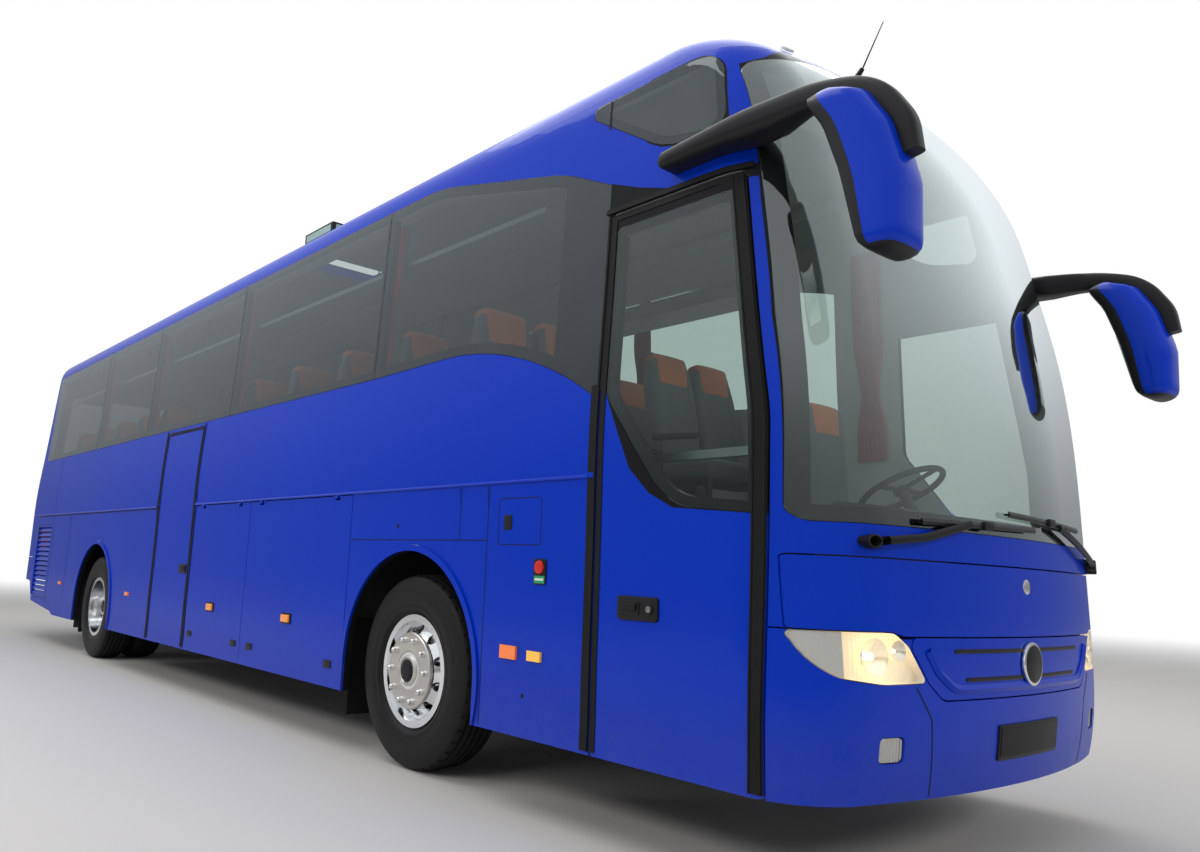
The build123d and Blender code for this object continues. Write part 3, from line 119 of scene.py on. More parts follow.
class Shader:
    def __init__(self, owner):
        owner.use_nodes = True
        self.owner = owner
        self.tree = owner.node_tree
        self.tree.nodes.clear()

    def node(self, kind, settings=None, inputs=None, out=0):
        made = self.tree.nodes.new(kind)
        for key, value in (settings or {}).items():
            if key == "stops":
                self.setStops(made.color_ramp, value)
            else:
                setattr(made, key, value)
        for key, value in (inputs or {}).items():
            self.feed(made.inputs[key], value)
        return Sum(self, made.outputs[out])

    def setStops(self, ramp, stops):
        for element, (place, level) in zip((ramp.elements[0], ramp.elements[1]), (stops[0], stops[-1])):
            element.position = place
            element.color = (level, level, level, 1)
        for place, level in stops[1:-1]:
            ramp.elements.new(place).color = (level, level, level, 1)

    def feed(self, socket, value):
        if isinstance(value, Sum):
            self.tree.links.new(value.socket, socket)
        elif hasattr(value, "__len__") and socket.type == "RGBA":
            socket.default_value = (*value, 1)
        else:
            socket.default_value = value

    def split(self, vector):
        made = self.tree.nodes.new("ShaderNodeSeparateXYZ")
        self.feed(made.inputs[0], vector)
        return [Sum(self, made.outputs[i]) for i in range(3)]

    def maths(self, operation, first, second=0.0):
        return self.node("ShaderNodeMath", {"operation": operation}, {0: first, 1: second})

    def larger(self, first, second):
        return self.maths("MAXIMUM", first, second)

    def mapped(self, **levels):
        inputs = {spaced(key): value for key, value in levels.items()}
        return self.node("ShaderNodeMapRange", {"interpolation_type": "SMOOTHSTEP"}, inputs)

    def ray(self, kind):
        return self.node("ShaderNodeLightPath", out=f"Is {kind} Ray")

    def mixShaders(self, share, first, second):
        return self.node("ShaderNodeMixShader", None, {0: share, 1: first, 2: second})

    def end(self, shader, kind="ShaderNodeOutputMaterial"):
        self.feed(self.tree.nodes.new(kind).inputs["Surface"], shader)
        return self.owner


class Finish(Shader):
    def __init__(self, name):
        super().__init__(bpy.data.materials.new(name))
        self.place = self.node("ShaderNodeTexCoord", out="Object")
        self.x, self.y, self.z = self.split(self.place)

    def mix(self, share, low, high):
        return self.node("ShaderNodeMix", {"data_type": "RGBA"}, {0: share, 6: low, 7: high}, out=2)

    def noise(self, scale, detail=3.0, roughness=0.5):
        inputs = {"Vector": self.place, "Scale": scale, "Detail": detail, "Roughness": roughness}
        return self.node("ShaderNodeTexNoise", None, inputs)

    def ease(self, value, low, high):  # 0 below low, 1 above high
        return self.mapped(value=value, fromMin=low, fromMax=high)

    def curve(self, value, low, high, stops):  # a level read from places between low and high
        share = (value - low) / (high - low)
        return self.node("ShaderNodeValToRGB", {"stops": stops}, {"Fac": share})

    def bump(self, height, depth, strength=1.0):
        return self.node("ShaderNodeBump", None, {"Height": height, "Distance": depth, "Strength": strength})

    def principled(self, **sockets):
        return self.node("ShaderNodeBsdfPrincipled", None, {spaced(k): v for k, v in sockets.items()})


def spaced(name):  # baseColor -> Base Color
    words = "".join(" " + c if c.isupper() else c for c in name)
    return {"ior Level": "Specular IOR Level"}.get(words, words.title().replace("Ior", "IOR"))


def simple(name, colour, roughness, metallic=0.0, grain=0.0, grainScale=120.0, mottle=0.1, **more):
    f = Finish(name)
    cloud = f.noise(6.0, 4.0, 0.6)
    dark, light = (tuple(min(1, c * share) for c in colour) for share in (1 - mottle, 1 + mottle))
    rough = roughness + (cloud - 0.5) * 0.12
    if grain:
        more["normal"] = f.bump(f.noise(grainScale, 2.0), grain)
    return f.end(f.principled(baseColor=f.mix(cloud, dark, light), roughness=rough, metallic=metallic, **more))


# Paint. The hull's half width at each height tells the outer skin from its recesses and the lining.
paint = {
    "blue": (0.0004, 0.036, 0.50),
    "deepBlue": (0.0002, 0.022, 0.36),
    "black": (0.012, 0.012, 0.014),
    "lining": (0.56, 0.57, 0.58),
    "dust": (0.16, 0.14, 0.12),
    "roughness": 0.3,
    "specular": 0.08,
    "coat": 0.26,
    "skinDepth": 0.005,
    "liningFrom": 1.2,
    "bedStations": (1.0, 11.4),
}
hullWidths = [  # height, half width
    (0.335, 1.275), (1.75, 1.275), (2.3, 1.247), (2.7, 1.228), (3.0, 1.215), (3.25, 1.205), (3.375, 1.193),
    (3.45, 1.165), (3.505, 1.115), (3.54, 1.04), (3.556, 0.92),
]


def hullWidth(f):
    low, high = hullWidths[0][0], hullWidths[-1][0]
    stops = [((z - low) / (high - low), width - 0.9) for z, width in hullWidths]
    return f.curve(f.z, low, high, stops) + 0.9


def inward(f):  # 1 where a face looks into the coach
    normal = f.node("ShaderNodeTexCoord", out="Normal")
    nx, ny, nz = f.split(normal)
    middle = f.node("ShaderNodeClamp", None, {"Value": f.y, "Min": at(1.6), "Max": at(10.6)})
    outward = nx * f.x + ny * (f.y - middle) + nz * (f.z - 1.9)
    return outward < -0.05


def paintFinish(name, blackWhere=None, lining=None, wallDepths=False, hollow=True):
    f = Finish(name)
    inner = inward(f) * (f.z > paint["liningFrom"]) if hollow else 0.0
    cloud = f.noise(1.3, 3.0, 0.55)
    peel = f.noise(90.0, 1.0)
    dirt = f.ease(f.z, 0.75, 0.33) * f.noise(9.0, 5.0, 0.65)
    base = f.mix(cloud * 0.3, paint["blue"], paint["deepBlue"])
    base = f.mix(dirt * 0.22, base, paint["dust"])
    black = None
    if wallDepths:
        start, end = paint["bedStations"]  # the plan narrows beyond them
        depth = hullWidth(f) - abs(f.x)
        black = (depth > paint["skinDepth"]) * between(f.y, at(start), at(end))
    if blackWhere:
        where = blackWhere(f)
        black = where if black is None else f.larger(black, where)
    shine = (1 - dirt * 0.5) * paint["coat"] * (1 - inner)
    if black is not None:
        base = f.mix(black, base, paint["black"])
        shine = shine * (1 - black)
    if hollow:
        base = f.mix(inner, base, lining or paint["lining"])
    rough = paint["roughness"] + dirt * 0.25 + inner * 0.4
    return f.end(f.principled(
        baseColor=base, roughness=rough, normal=f.bump(peel, 0.00012, 0.5),
        coatWeight=shine, coatRoughness=0.03, iorLevel=paint["specular"],
    ))


def between(value, low, high):
    return (value > low) * (value < high)


def screenHole(f):  # inside the windscreen's outline, seen from the front
    edges = [(0, 0.322), (0.38, 0.316), (0.62, 0.289), (0.934, 0.243), (0.95, 0.16), (1, 0)]
    across = f.larger(abs(f.x) - f.curve(f.z, 1.3, 3.4, edges) - 0.84, 0.0)
    below = f.larger(1.3725 - f.z, 0.0)
    return (across * across + below * below < 0.0036) * (f.z < 3.384) * (f.y < at(1.0))


def driverWindowHole(f):
    lean = f.ease(f.z, 1.73, 2.66) * 0.13
    return (f.y > at(0.447) + lean) * between(f.z, 1.336, 2.66) * (f.x > 1.0)


def overDoor(f):  # the charcoal wedge between the door's head and the blue sweep
    tops = [(0, 0.76), (0.33, 0.76), (0.57, 0.765), (0.8, 0.83), (1, 0.9)]
    top = f.curve(f.y, at(0.45), at(1.31), tops) + 2.0
    return between(f.y, at(0.43), at(1.312)) * between(f.z, 2.70, 4) * (f.z < top)


def quarterHole(f):  # the front end of the upper quarter pane
    lean = at(0.632) + (f.z - 2.915) * 0.1537
    radius = 0.118
    across = f.larger(lean + radius - f.y, 0.0)
    above = f.larger(f.z - 3.228, 0.0)
    lows = [(0, 0.05), (0.62, 0.108), (0.78, 0.13), (0.92, 0.17), (1, 0.20)]
    low = f.curve(f.y, at(0.62), at(1.12), lows) + 2.853
    inCorner = across * across + above * above < radius * radius
    return inCorner * (f.z > low) * between(f.y, at(0.6), at(1.1))


def bodyBlack(f):
    return f.larger(f.larger(overDoor(f), quarterHole(f)), screenHole(f))


def frontBlack(f):
    return f.larger(f.larger(screenHole(f), driverWindowHole(f)), overDoor(f))


def rearBlack(f):
    return (abs(f.x) < 1.055 - (f.z - 2.27) * 0.03) * between(f.z, 2.272, 3.218) * (f.y > 0)


def doorBlack(f):  # the door's head and the bed of its pane
    lows = [(0, 0.335), (0.50, 0.366), (0.66, 0.43), (0.80, 0.54), (0.97, 0.84), (1, 0.9)]
    bed = (f.z > f.curve(f.y, at(0.44), at(1.26), lows) + 1.0) * (f.y < at(1.257))
    return f.larger(f.z > 2.655, bed)


bodyPaint = paintFinish("bodyPaint", bodyBlack, wallDepths=True)
frontPaint = paintFinish("frontPaint", frontBlack)
rearPaint = paintFinish("rearPaint", rearBlack)
doorPaint = paintFinish("doorPaint", doorBlack, lining=(0.2, 0.2, 0.21))
flapPaint = paintFinish("flapPaint", lining=(0.05, 0.05, 0.055))
roofPaint = paintFinish("roofPaint", screenHole)


def mirrorBlack(f):  # the rear rim of a mirror's shell, and its foot
    edge = f.curve(f.z, 2.08, 2.85, [(0, 0.40), (0.15, 0.50), (0.5, 0.555), (0.75, 0.60), (1, 0.75)]) - 0.62
    return f.larger(f.y > at(0) + edge, f.z < 2.10 + 0.14 * (f.x < 0))


mirrorPaint = paintFinish("mirrorPaint", mirrorBlack)


def glassFinish(name, tint, mirror, grey):
    f = Finish(name)
    clear = f.node("ShaderNodeBsdfTransparent", None, {"Color": tint})
    film = f.noise(3.0, 4.0, 0.6)
    gloss = f.principled(baseColor=grey, roughness=0.015 + film * 0.02, metallic=1.0)
    outside = 1 - f.node("ShaderNodeNewGeometry", out="Backfacing")
    share = f.node("ShaderNodeFresnel", None, {"IOR": 1.5}) * outside * mirror
    return f.end(f.mixShaders(share + film * 0.012, clear, gloss))


sideGlass = glassFinish("sideGlass", (0.66, 0.71, 0.70), 1.5, (0.86, 0.92, 0.97))
screenGlass = glassFinish("screenGlass", (0.86, 0.92, 0.89), 3.4, (0.88, 0.95, 0.94))
doorGlass = glassFinish("doorGlass", (0.84, 0.91, 0.88), 1.3, (0.88, 0.95, 0.94))
rearGlass = glassFinish("rearGlass", (0.36, 0.38, 0.38), 1.0, (0.9, 0.95, 0.97))
blackPlastic = simple("blackPlastic", (0.010, 0.010, 0.011), 0.40, 0.0, 0.00015, 420, 0.2, iorLevel=0.26)
rubber = simple("rubber", (0.010, 0.010, 0.010), 0.60, 0.0, 0.0002, 260, 0.25, iorLevel=0.2)
chassis = simple("chassis", (0.03, 0.03, 0.032), 0.7, 0.0, 0.0006, 60, 0.4)
steel = simple("steel", (0.32, 0.33, 0.34), 0.38, 1.0, 0.0001, 300)
aluminium = simple("aluminium", (0.83, 0.84, 0.85), 0.13, 1.0, 0.00006, 400, 0.05)
dashPlastic = simple("dashPlastic", (0.05, 0.052, 0.055), 0.6, 0.0, 0.0003, 240)
rackPlastic = simple("rackPlastic", (0.36, 0.37, 0.37), 0.55, 0.0, 0.0002, 200)
greyPlastic = simple("greyPlastic", (0.18, 0.185, 0.19), 0.5, 0.0, 0.0002, 200)
floorVinyl = simple("floorVinyl", (0.06, 0.062, 0.068), 0.5, 0.0, 0.0002, 500, 0.3)


def ribs(f):  # fine ribs across a lens
    return f.maths("SINE", f.z * 700.0) * 0.5 + 0.5


def lampFinish(name, colour, glow=0.0):
    f = Finish(name)
    base = f.mix(f.noise(30.0) * 0.4, colour, tuple(c * 0.6 for c in colour))
    return ribbed(f, base, glow)


def ribbed(f, base, glow):
    return f.end(f.principled(
        baseColor=base, roughness=0.08 + ribs(f) * 0.04, coatWeight=1.0, normal=f.bump(ribs(f), 0.0008),
        emissionColor=base, emissionStrength=glow,
    ))


redLens = lampFinish("redLens", (0.5, 0.01, 0.012), 0.15)
amberLens = lampFinish("amberLens", (0.95, 0.30, 0.02), 0.25)


def markerFinish():
    f = Finish("markerLens")
    yellow = between(f.y, at(1.5), at(1.735)) * (f.z < 1.2)
    return ribbed(f, f.mix(yellow, (0.95, 0.20, 0.02), (0.98, 0.52, 0.05)), 0.2)


markerLens = markerFinish()
redPlastic = simple("redPlastic", (0.62, 0.015, 0.01), 0.32, grain=0.0001)
greenLabel = simple("greenLabel", (0.02, 0.32, 0.12), 0.5)
whiteLens = lampFinish("whiteLens", (0.72, 0.72, 0.70))
hatchPane = simple("hatchPane", (0.30, 0.44, 0.40), 0.15, grain=0.00005)
whiteLabel = simple("whiteLabel", (0.75, 0.76, 0.74), 0.5)
darkPlastic = simple("darkPlastic", (0.035, 0.036, 0.04), 0.5, 0.0, 0.0002, 260)
plateBlank = simple("plateBlank", (0.003, 0.003, 0.003), 0.35, 0.0, 0.0001, 90, iorLevel=0.12)
plainBlue = paintFinish("plainBlue", hollow=False)
chrome = simple("chrome", (0.80, 0.79, 0.78), 0.16, metallic=1.0, mottle=0.03)
mirrorSilver = simple("mirrorSilver", (0.9, 0.92, 0.93), 0.02, metallic=1.0, mottle=0.01)


def clothFinish(name, colour, weave=900.0, sheen=0.4):
    f = Finish(name)
    across = f.maths("SINE", (f.x + f.y) * weave)
    down = f.maths("SINE", f.z * weave)
    thread = across * down
    cloud = f.noise(4.0, 4.0, 0.6)
    base = f.mix(cloud * 0.6 + thread * 0.12, colour, tuple(c * 0.72 for c in colour))
    return f.end(f.principled(
        baseColor=base, roughness=0.85 - cloud * 0.08, normal=f.bump(thread + f.noise(60.0) * 2.0, 0.0006),
        sheenWeight=sheen, sheenRoughness=0.5,
    ))


seatCloth = clothFinish("seatCloth", (0.10, 0.105, 0.115))
orangeCloth = clothFinish("orangeCloth", (0.72, 0.17, 0.035))
curtainCloth = clothFinish("curtainCloth", (0.50, 0.035, 0.04), 1400.0, 0.3)


def tyreFinish(name, station):
    f = Finish(name)
    y, z = f.y - at(station), f.z - coach["wheelHeight"]
    radius = f.maths("SQRT", y * y + z * z)
    turn = f.maths("ARCTAN2", z, y)
    bars = f.maths("SINE", turn * 240.0) * f.ease(radius, 0.335, 0.345) * f.ease(radius, 0.372, 0.362)
    sipes = f.maths("SINE", turn * 420.0) * (radius > 0.515)
    dust = f.noise(14.0, 5.0, 0.6) * f.ease(radius, 0.30, 0.52)
    base = f.mix(dust * 0.25, (0.006, 0.006, 0.0062), (0.04, 0.037, 0.034))
    return f.end(f.principled(
        baseColor=base, roughness=0.42 + dust * 0.3, iorLevel=0.25,
        normal=f.bump(bars * 0.4 + sipes * 0.5 + f.noise(220.0) * 0.3, 0.0012),
    ))


tyreRubber = {axle: tyreFinish(f"tyreRubber_{axle}", coach[f"{axle}Axle"]) for axle in ("front", "rear")}


def litBy(f, x, station, z, reach):  # 1 at a bulb on either side of the coach, 0 beyond its reach
    dx, dy, dz = abs(f.x) - x, f.y - at(station), f.z - z
    return f.ease(f.maths("SQRT", dx * dx + dy * dy + dz * dz), reach, 0.03)


def litMetal(name, colour, rough, glow, reach, metallic=1.0):
    f = Finish(name)
    # painted bulb light: the metal glows warm near the bulb and fades with distance, as strong as glow (none
    # where glow is 0)
    paintedBulbLight = f.mix(litBy(f, 0.96, 0.17, 0.85, reach), (0.0, 0.0, 0.0), (1.0, 0.72, 0.36))
    flute = f.maths("SINE", f.x * 420.0)
    return f.end(f.principled(
        baseColor=colour, roughness=rough, metallic=metallic, emissionColor=paintedBulbLight, emissionStrength=glow,
        normal=f.bump(flute, 0.0006),
    ))


litReflector = litMetal("litReflector", (0.92, 0.88, 0.80), 0.12, 0.55, 0.16)
lampBezel = litMetal("lampBezel", (0.80, 0.77, 0.70), 0.3, 0.8, 0.30, 0.35)
lampGlow = lampFinish("lampGlow", (1.0, 0.86, 0.62), 2.2)
fogLens = litMetal("fogLens", (0.50, 0.50, 0.46), 0.18, 0.0, 0.1, 0.7)
lensClear = glassFinish("lensClear", (0.97, 0.97, 0.96), 1.0, (0.95, 0.97, 1.0))
fluteLens = litMetal("fluteLens", (0.74, 0.73, 0.70), 0.16, 0.0, 0.1, 0.3)
satin = simple("satin", (0.66, 0.63, 0.58), 0.36, 0.9, 0.00006, 400, 0.05)

nodeFinishes = (
    (bodyPaint, "side_wall_right side_wall_left"),
    (roofPaint, "roof"),
    (frontPaint, "front_panel"),
    (rearPaint, "rear_panel"),
    (doorPaint, "front_door_leaf"),
    (flapPaint, f"bumpers service_flap front_grille {luggageFlaps} engine_door middle_door_leaf side_grilles "
                "air_conditioner"),
    (mirrorPaint, "mirror_heads"),
    (screenGlass, "windscreen"),
    (doorGlass, "front_door_glass"),
    (sideGlass, "side_windows"),
    (rearGlass, "rear_window"),
    (amberLens, "headlamps"),
    (redLens, "tail_lamps curtains"),
    (markerLens, "marker_lamps"),
    (rubber, "mud_flaps tyre_front_right tyre_front_left tyres_rear_right tyres_rear_left"),
    (blackPlastic, "wipers mirror_arms roof_hatch steering_wheel"),
    (chassis, "engine front_axle rear_axle knuckle_right knuckle_left underframe"),
    (floorVinyl, "saloon_floor"),
    (dashPlastic, "dashboard"),
    (greyPlastic, "seats"),
    (rackPlastic, "luggage_racks"),
    (aluminium, "rim_front_right rim_front_left rims_rear_right rims_rear_left"),
    (steel, "front_door_arms middle_door_arms"),
)
for finish, names in nodeFinishes:
    for name in names.split():
        mesh = nodes[name].data
        mesh.materials.clear()
        mesh.materials.append(finish)
print("finishes on", len(nodes), "nodes")


# Making of pieces
def keepMesh(name, bm):
    mesh = bpy.data.meshes.new(name)
    bm.to_mesh(mesh)
    bm.free()
    return mesh


def outwards(bm):
    bmesh.ops.recalc_face_normals(bm, faces=bm.faces)


def settle(name, bm, finish, slot, body="coach", sharp=32):
    mesh = keepMesh(name, bm)
    piece = bpy.data.objects.new(name, mesh)
    bpy.context.scene.collection.objects.link(piece)
    for each in finish if isinstance(finish, list) else [finish]:
        mesh.materials.append(each)
    mesh.polygons.foreach_set("use_smooth", [True] * len(mesh.polygons))
    mesh.set_sharp_from_angle(angle=math.radians(sharp))
    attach(piece, body)
    return piece


flippedFaces = ("right", "rear")  # there a flat shape's front looks into the body


def layOn(face, name, bm, *rest, **more):  # flat shapes (u, v, height) laid on the body's outside
    outwards(bm)
    for vert in bm.verts:
        place, normal = skinPoint(face, vert.co.x, vert.co.y)
        vert.co = place + normal * vert.co.z
    if face in flippedFaces:
        bmesh.ops.reverse_faces(bm, faces=bm.faces)
    return settle(name, bm, *rest, **more)


def roundRect(bm, u, v, width, height, radius, thick, soften=0, lift=0, cuts=(2, 2), material=0):
    made = bmesh.ops.create_grid(bm, x_segments=cuts[0], y_segments=cuts[1], size=0.5)["verts"]
    bmesh.ops.scale(bm, vec=(width, height, 1), verts=made)
    corners = [w for w in made if len(w.link_edges) == 2]
    grown = bmesh.ops.bevel(
        bm, geom=corners, offset=radius, segments=5, profile=0.5, affect="VERTICES", material=-1
    )
    made = list({w for w in made if w.is_valid} | set(grown["verts"]))
    bmesh.ops.translate(bm, vec=(u, v, lift + thick), verts=made)
    faces = list({f for w in made for f in w.link_faces})
    solid = bmesh.ops.solidify(bm, geom=faces, thickness=thick)
    made = list(set(made) | {g for g in solid["geom"] if isinstance(g, bmesh.types.BMVert)})
    faces = list({f for w in made for f in w.link_faces})
    for f in faces:
        f.material_index = material
    if soften:
        rim = [
            e for e in {e for w in made for e in w.link_edges}
            if all(abs(w.co.z - lift - thick) < 1e-6 for w in e.verts)
            and any(abs(f.normal.z) < 0.5 for f in e.link_faces)
        ]
        bmesh.ops.bevel(bm, geom=rim, offset=soften, segments=2, profile=0.5, affect="EDGES", material=-1)


# Rounded plates on the skin. Each part: u, v, width, height, corner radius, thickness, softened edge, lift,
# cuts, material
def plate(name, face, parts, finish=blackPlastic, slot="black_plastic", body="coach"):
    bm = bmesh.new()
    for part in parts:
        roundRect(bm, *part)
    layOn(face, name, bm, finish, slot, body)


def arcPath(points, step=0.06):  # (u, v, corner radius) made a path with its corners rounded
    path = []
    for before, (u, v, radius), after in zip([points[0]] + points, points, points[1:] + [points[-1]]):
        if radius == 0:
            path.append((u, v))
            continue
        corner = Vector((u, v))
        first = (Vector(before[:2]) - corner).normalized()
        last = (Vector(after[:2]) - corner).normalized()
        half = first.angle(last) / 2
        run = radius / math.tan(half)
        middle = corner + (first + last).normalized() * radius / math.sin(half)
        start, end = corner + first * run - middle, corner + last * run - middle
        turn = start.angle_signed(end)
        count = max(3, round(abs(turn) * radius / step))
        for i in range(count + 1):
            a = -turn * i / count
            path.append((
                middle.x + start.x * math.cos(a) - start.y * math.sin(a),
                middle.y + start.x * math.sin(a) + start.y * math.cos(a),
            ))
    return path


def spread(path, step):  # more places on the long runs
    full = [path[0]]
    for first, last in zip(path, path[1:]):
        count = max(1, math.ceil(math.dist(first, last) / step))
        full += [tuple(a + (b - a) * i / count for a, b in zip(first, last)) for i in range(1, count + 1)]
    return full


def band(bm, path, width, thick, lift=0.0, crown=0.0):  # a flat strip along a path
    count = len(path) - 1
    made = bmesh.ops.create_grid(bm, x_segments=count, y_segments=2, size=0.5)["verts"]
    points = [Vector(p) for p in path]
    for vert in made:
        i = round((vert.co.x + 0.5) * count)
        before = points[i] - points[i - 1] if i else points[1] - points[0]
        after = points[i + 1] - points[i] if i < count else points[i] - points[i - 1]
        along = (before.normalized() + after.normalized()).normalized()
        mitre = 1 / max(0.5, along.dot(before.normalized()))
        out = Vector((-along.y, along.x)) * vert.co.y * width * mitre
        rise = crown if abs(vert.co.y) < 0.1 else 0.0
        vert.co = Vector((points[i].x + out.x, points[i].y + out.y, lift + thick + rise))
    faces = list({f for v in made for f in v.link_faces})
    bmesh.ops.solidify(bm, geom=faces, thickness=thick)


def strips(name, face, rows, body="coach"):  # rubber along rows of path, width, thickness, lift
    bm = bmesh.new()
    for path, width, thick, lift in rows:
        band(bm, spread(path, 0.12), width, thick, lift)
    layOn(face, name, bm, rubber, "rubber_sheet", body)


def turnedShape(bm, profile, steps=48, closed=False):  # (along the axle, radius) spun about X
    verts = [bm.verts.new((across, 0, radius)) for across, radius in profile]
    edges = [bm.edges.new(pair) for pair in zip(verts, verts[1:])]
    if closed:
        edges.append(bm.edges.new((verts[-1], verts[0])))
    bmesh.ops.spin(
        bm, geom=verts + edges, cent=(0, 0, 0), axis=(1, 0, 0), dvec=(0, 0, 0),
        angle=2 * math.pi, steps=steps, use_merge=True,
    )


def stamp(bm, template, matrix):  # a copy of a finished shape, put in its place
    start = len(bm.verts)
    bm.from_mesh(template)
    bm.verts.ensure_lookup_table()
    bmesh.ops.transform(bm, matrix=matrix, verts=bm.verts[start:])


def upTo(start, end):  # turns +Z to run from one point to another
    way = Vector(end) - Vector(start)
    return Matrix.Translation(start) @ way.to_track_quat("Z", "Y").to_matrix().to_4x4(), way.length


def bar(bm, start, end, radius, tip=None, segments=16):
    matrix, length = upTo(start, end)
    middle = matrix @ Matrix.Translation((0, 0, length / 2))
    tip = radius if tip is None else tip
    bmesh.ops.create_cone(
        bm, cap_ends=True, segments=segments, radius1=radius, radius2=tip, depth=length, matrix=middle,
    )


# Rubber round the doors and panes
seals = {
    "bottom": 0.35,
    "top": 2.722,
    "thick": 0.004,
    "bend": 1.72,
    "slope": 0.1389,
    "middleDoor": ((6.138, 6.996), 2.176),
    "middleFrame": ((6.10, 7.034), 2.21),
}


def upright(station, low, high):
    return [(station, low), (station, high)]


def level(height, start, end):
    return [(start, height), (end, height)]


def leaning(station):  # along the door's front edge, which leans back above its bend
    bend, slope, top = seals["bend"], seals["slope"], seals["top"]
    heights = [seals["bottom"], bend - 0.06, bend, bend + 0.06, top]
    rise = [0, 0, 0.02 * slope, 0.06 * slope, (top - bend) * slope]
    return [(station + r, z) for z, r in zip(heights, rise)]


def doorSeals():
    low, high, thick = seals["bottom"], seals["top"], seals["thick"]
    reach = (high - seals["bend"]) * seals["slope"]
    strips("door_leaf_seals", "right", [
        (leaning(0.4475), 0.058, thick, 0),
        (upright(1.2685, low, high), 0.03, thick, 0),
        (level(2.712, 0.44 + reach, 1.27), 0.026, thick, 0),
        (leaning(0.4305), 0.012, 0.006, thick),
        (leaning(0.472), 0.006, 0.003, thick),
    ], "front_door")
    strips("door_frame_seal", "right", [
        (upright(1.3195, low, 1.93), 0.052, thick, 0),
        (upright(1.3, low, 2.75), 0.012, 0.009, 0),
        (upright(1.292, 1.90, 2.745), 0.024, thick, 0),
        (level(2.748, 0.53, 1.32), 0.016, 0.014, 0),
        (level(2.764, 0.53, 1.32), 0.008, 0.006, 0),
    ])
    for _, face in sides:
        strips(f"quarter_bar_{face}", face, [(upright(1.345, 3.185, 3.335), 0.012, 0.002, 0)])
    stations, top = seals["middleDoor"]
    rows = [(upright(station, low, 2.175), 0.024, thick, 0) for station in stations]
    strips("middle_door_seals", "right", rows + [(level(top, 6.14, 6.995), 0.02, thick, 0)], "middle_door")
    stations, top = seals["middleFrame"]
    rows = [(upright(station, low, top), 0.022, thick, 0) for station in stations]
    strips("middle_door_frame", "right", rows)


moulding = {"runs": ((1.34, 6.10), (7.04, 11.95)), "height": 1.516, "width": 0.014, "crown": 0.003}


def mouldings():  # a fine crown on the panels above the flaps
    for _, face in sides:
        bm = bmesh.new()
        for start, end in moulding["runs"]:
            path = spread(level(moulding["height"], start, end), 0.12)
            band(bm, path, moulding["width"], 0.0006, crown=moulding["crown"])
        layOn(face, f"moulding_{face}", bm, plainBlue, "body_paint")


# Handles, flaps and small lamps on the sides
sideFittings = {
    "seam": (0.005, 0.0012),
    "archPanelTop": 1.231,
    "frontSeam": 2.062,
    "archSeamEnd": 3.44,
    "seamTop": 1.505,
    "upright": ((2.30, 1.231, 1.505), (10.02, 0.5, 1.505), (10.80, 0.44, 2.19)),  # station, foot, top
    "waist": (1.503, {"right": 7.05, "left": 8.13}, 11.6),
    "filler": (1.33, 0.62),
    "locker": (9.35, 0.95),
    "flap": ((1.973, 1.32, 0), (1.973, 1.435, 0.02), (1.654, 1.435, 0.02), (1.654, 1.211, 0.02),
             (1.973, 1.211, 0.02), (1.973, 1.32, 0)),
    "locks": (
        (1.90, 1.318, 0.062, 0.072, 0.012, 0.003, 0.001), (2.905, 1.31, 0.024, 0.024, 0.011, 0.003, 0.001),
        (1.74, 0.52, 0.02, 0.02, 0.009, 0.003, 0.001),
    ),
    "button": (
        (1.645, 1.108, 0.062, 0.062, 0.030, 0.009, 0.004, 0.006),
        (1.645, 1.052, 0.074, 0.034, 0.004, 0.0012, 0, 0.006, (2, 2), 1),
        (1.645, 1.0525, 0.06, 0.010, 0.002, 0.0008, 0, 0.0072, (2, 2), 2),
    ),
}


def seamRow(path, width=sideFittings["seam"][0]):
    return (path, width, sideFittings["seam"][1], -0.0004)


def sideDetails():
    front, arch, end, top = (sideFittings[k] for k in ("frontSeam", "archPanelTop", "archSeamEnd", "seamTop"))
    flap = arcPath(list(sideFittings["flap"]), 0.008)
    wheel, rear, last = (seamRow(upright(*place)) for place in sideFittings["upright"])
    height, starts, finish = sideFittings["waist"]
    for _, face in sides:
        rows = [
            seamRow(upright(front, 0.35, top)), seamRow(level(arch, front, end)), wheel, seamRow(flap, 0.004),
            rear, seamRow(level(height, starts[face], finish)), last,
        ]
        if face == "left":
            rows.append(seamRow(level(*sideFittings["filler"], front)))
            rows.append(seamRow(upright(*sideFittings["locker"], top)))
        strips(f"panel_seams_{face}", face, rows)
        plate(f"flap_locks_{face}", face, sideFittings["locks"])
    plate("door_button_housing", "right", [(1.645, 1.088, 0.088, 0.118, 0.014, 0.006, 0.002)])
    plate("door_button", "right", sideFittings["button"], [redPlastic, greenLabel, whiteLabel])


handles = {
    "front": (
        (1.023, 0.957, 0.226, 0.098, 0.016, 0.010, 0.004, 0, (4, 2)),
        (1.068, 0.957, 0.118, 0.062, 0.010, 0.004, 0.002, 0.010, (3, 2)),
        (1.068, 0.963, 0.096, 0.03, 0.008, 0.010, 0.004, 0.014, (3, 2)),
        (0.953, 0.957, 0.044, 0.044, 0.0215, 0.006, 0.002, 0.010),
        (0.953, 0.957, 0.026, 0.026, 0.0128, 0.003, 0.001, 0.016, (2, 2), 1),
    ),
    "middle": (
        (6.25, 0.98, 0.16, 0.075, 0.012, 0.008, 0.003), (6.25, 0.985, 0.12, 0.028, 0.008, 0.009, 0.003, 0.008),
    ),
}


def doorHandles():
    plate("front_door_handle", "right", handles["front"], [blackPlastic, steel], body="front_door")
    plate("middle_door_handle", "right", handles["middle"], body="middle_door")


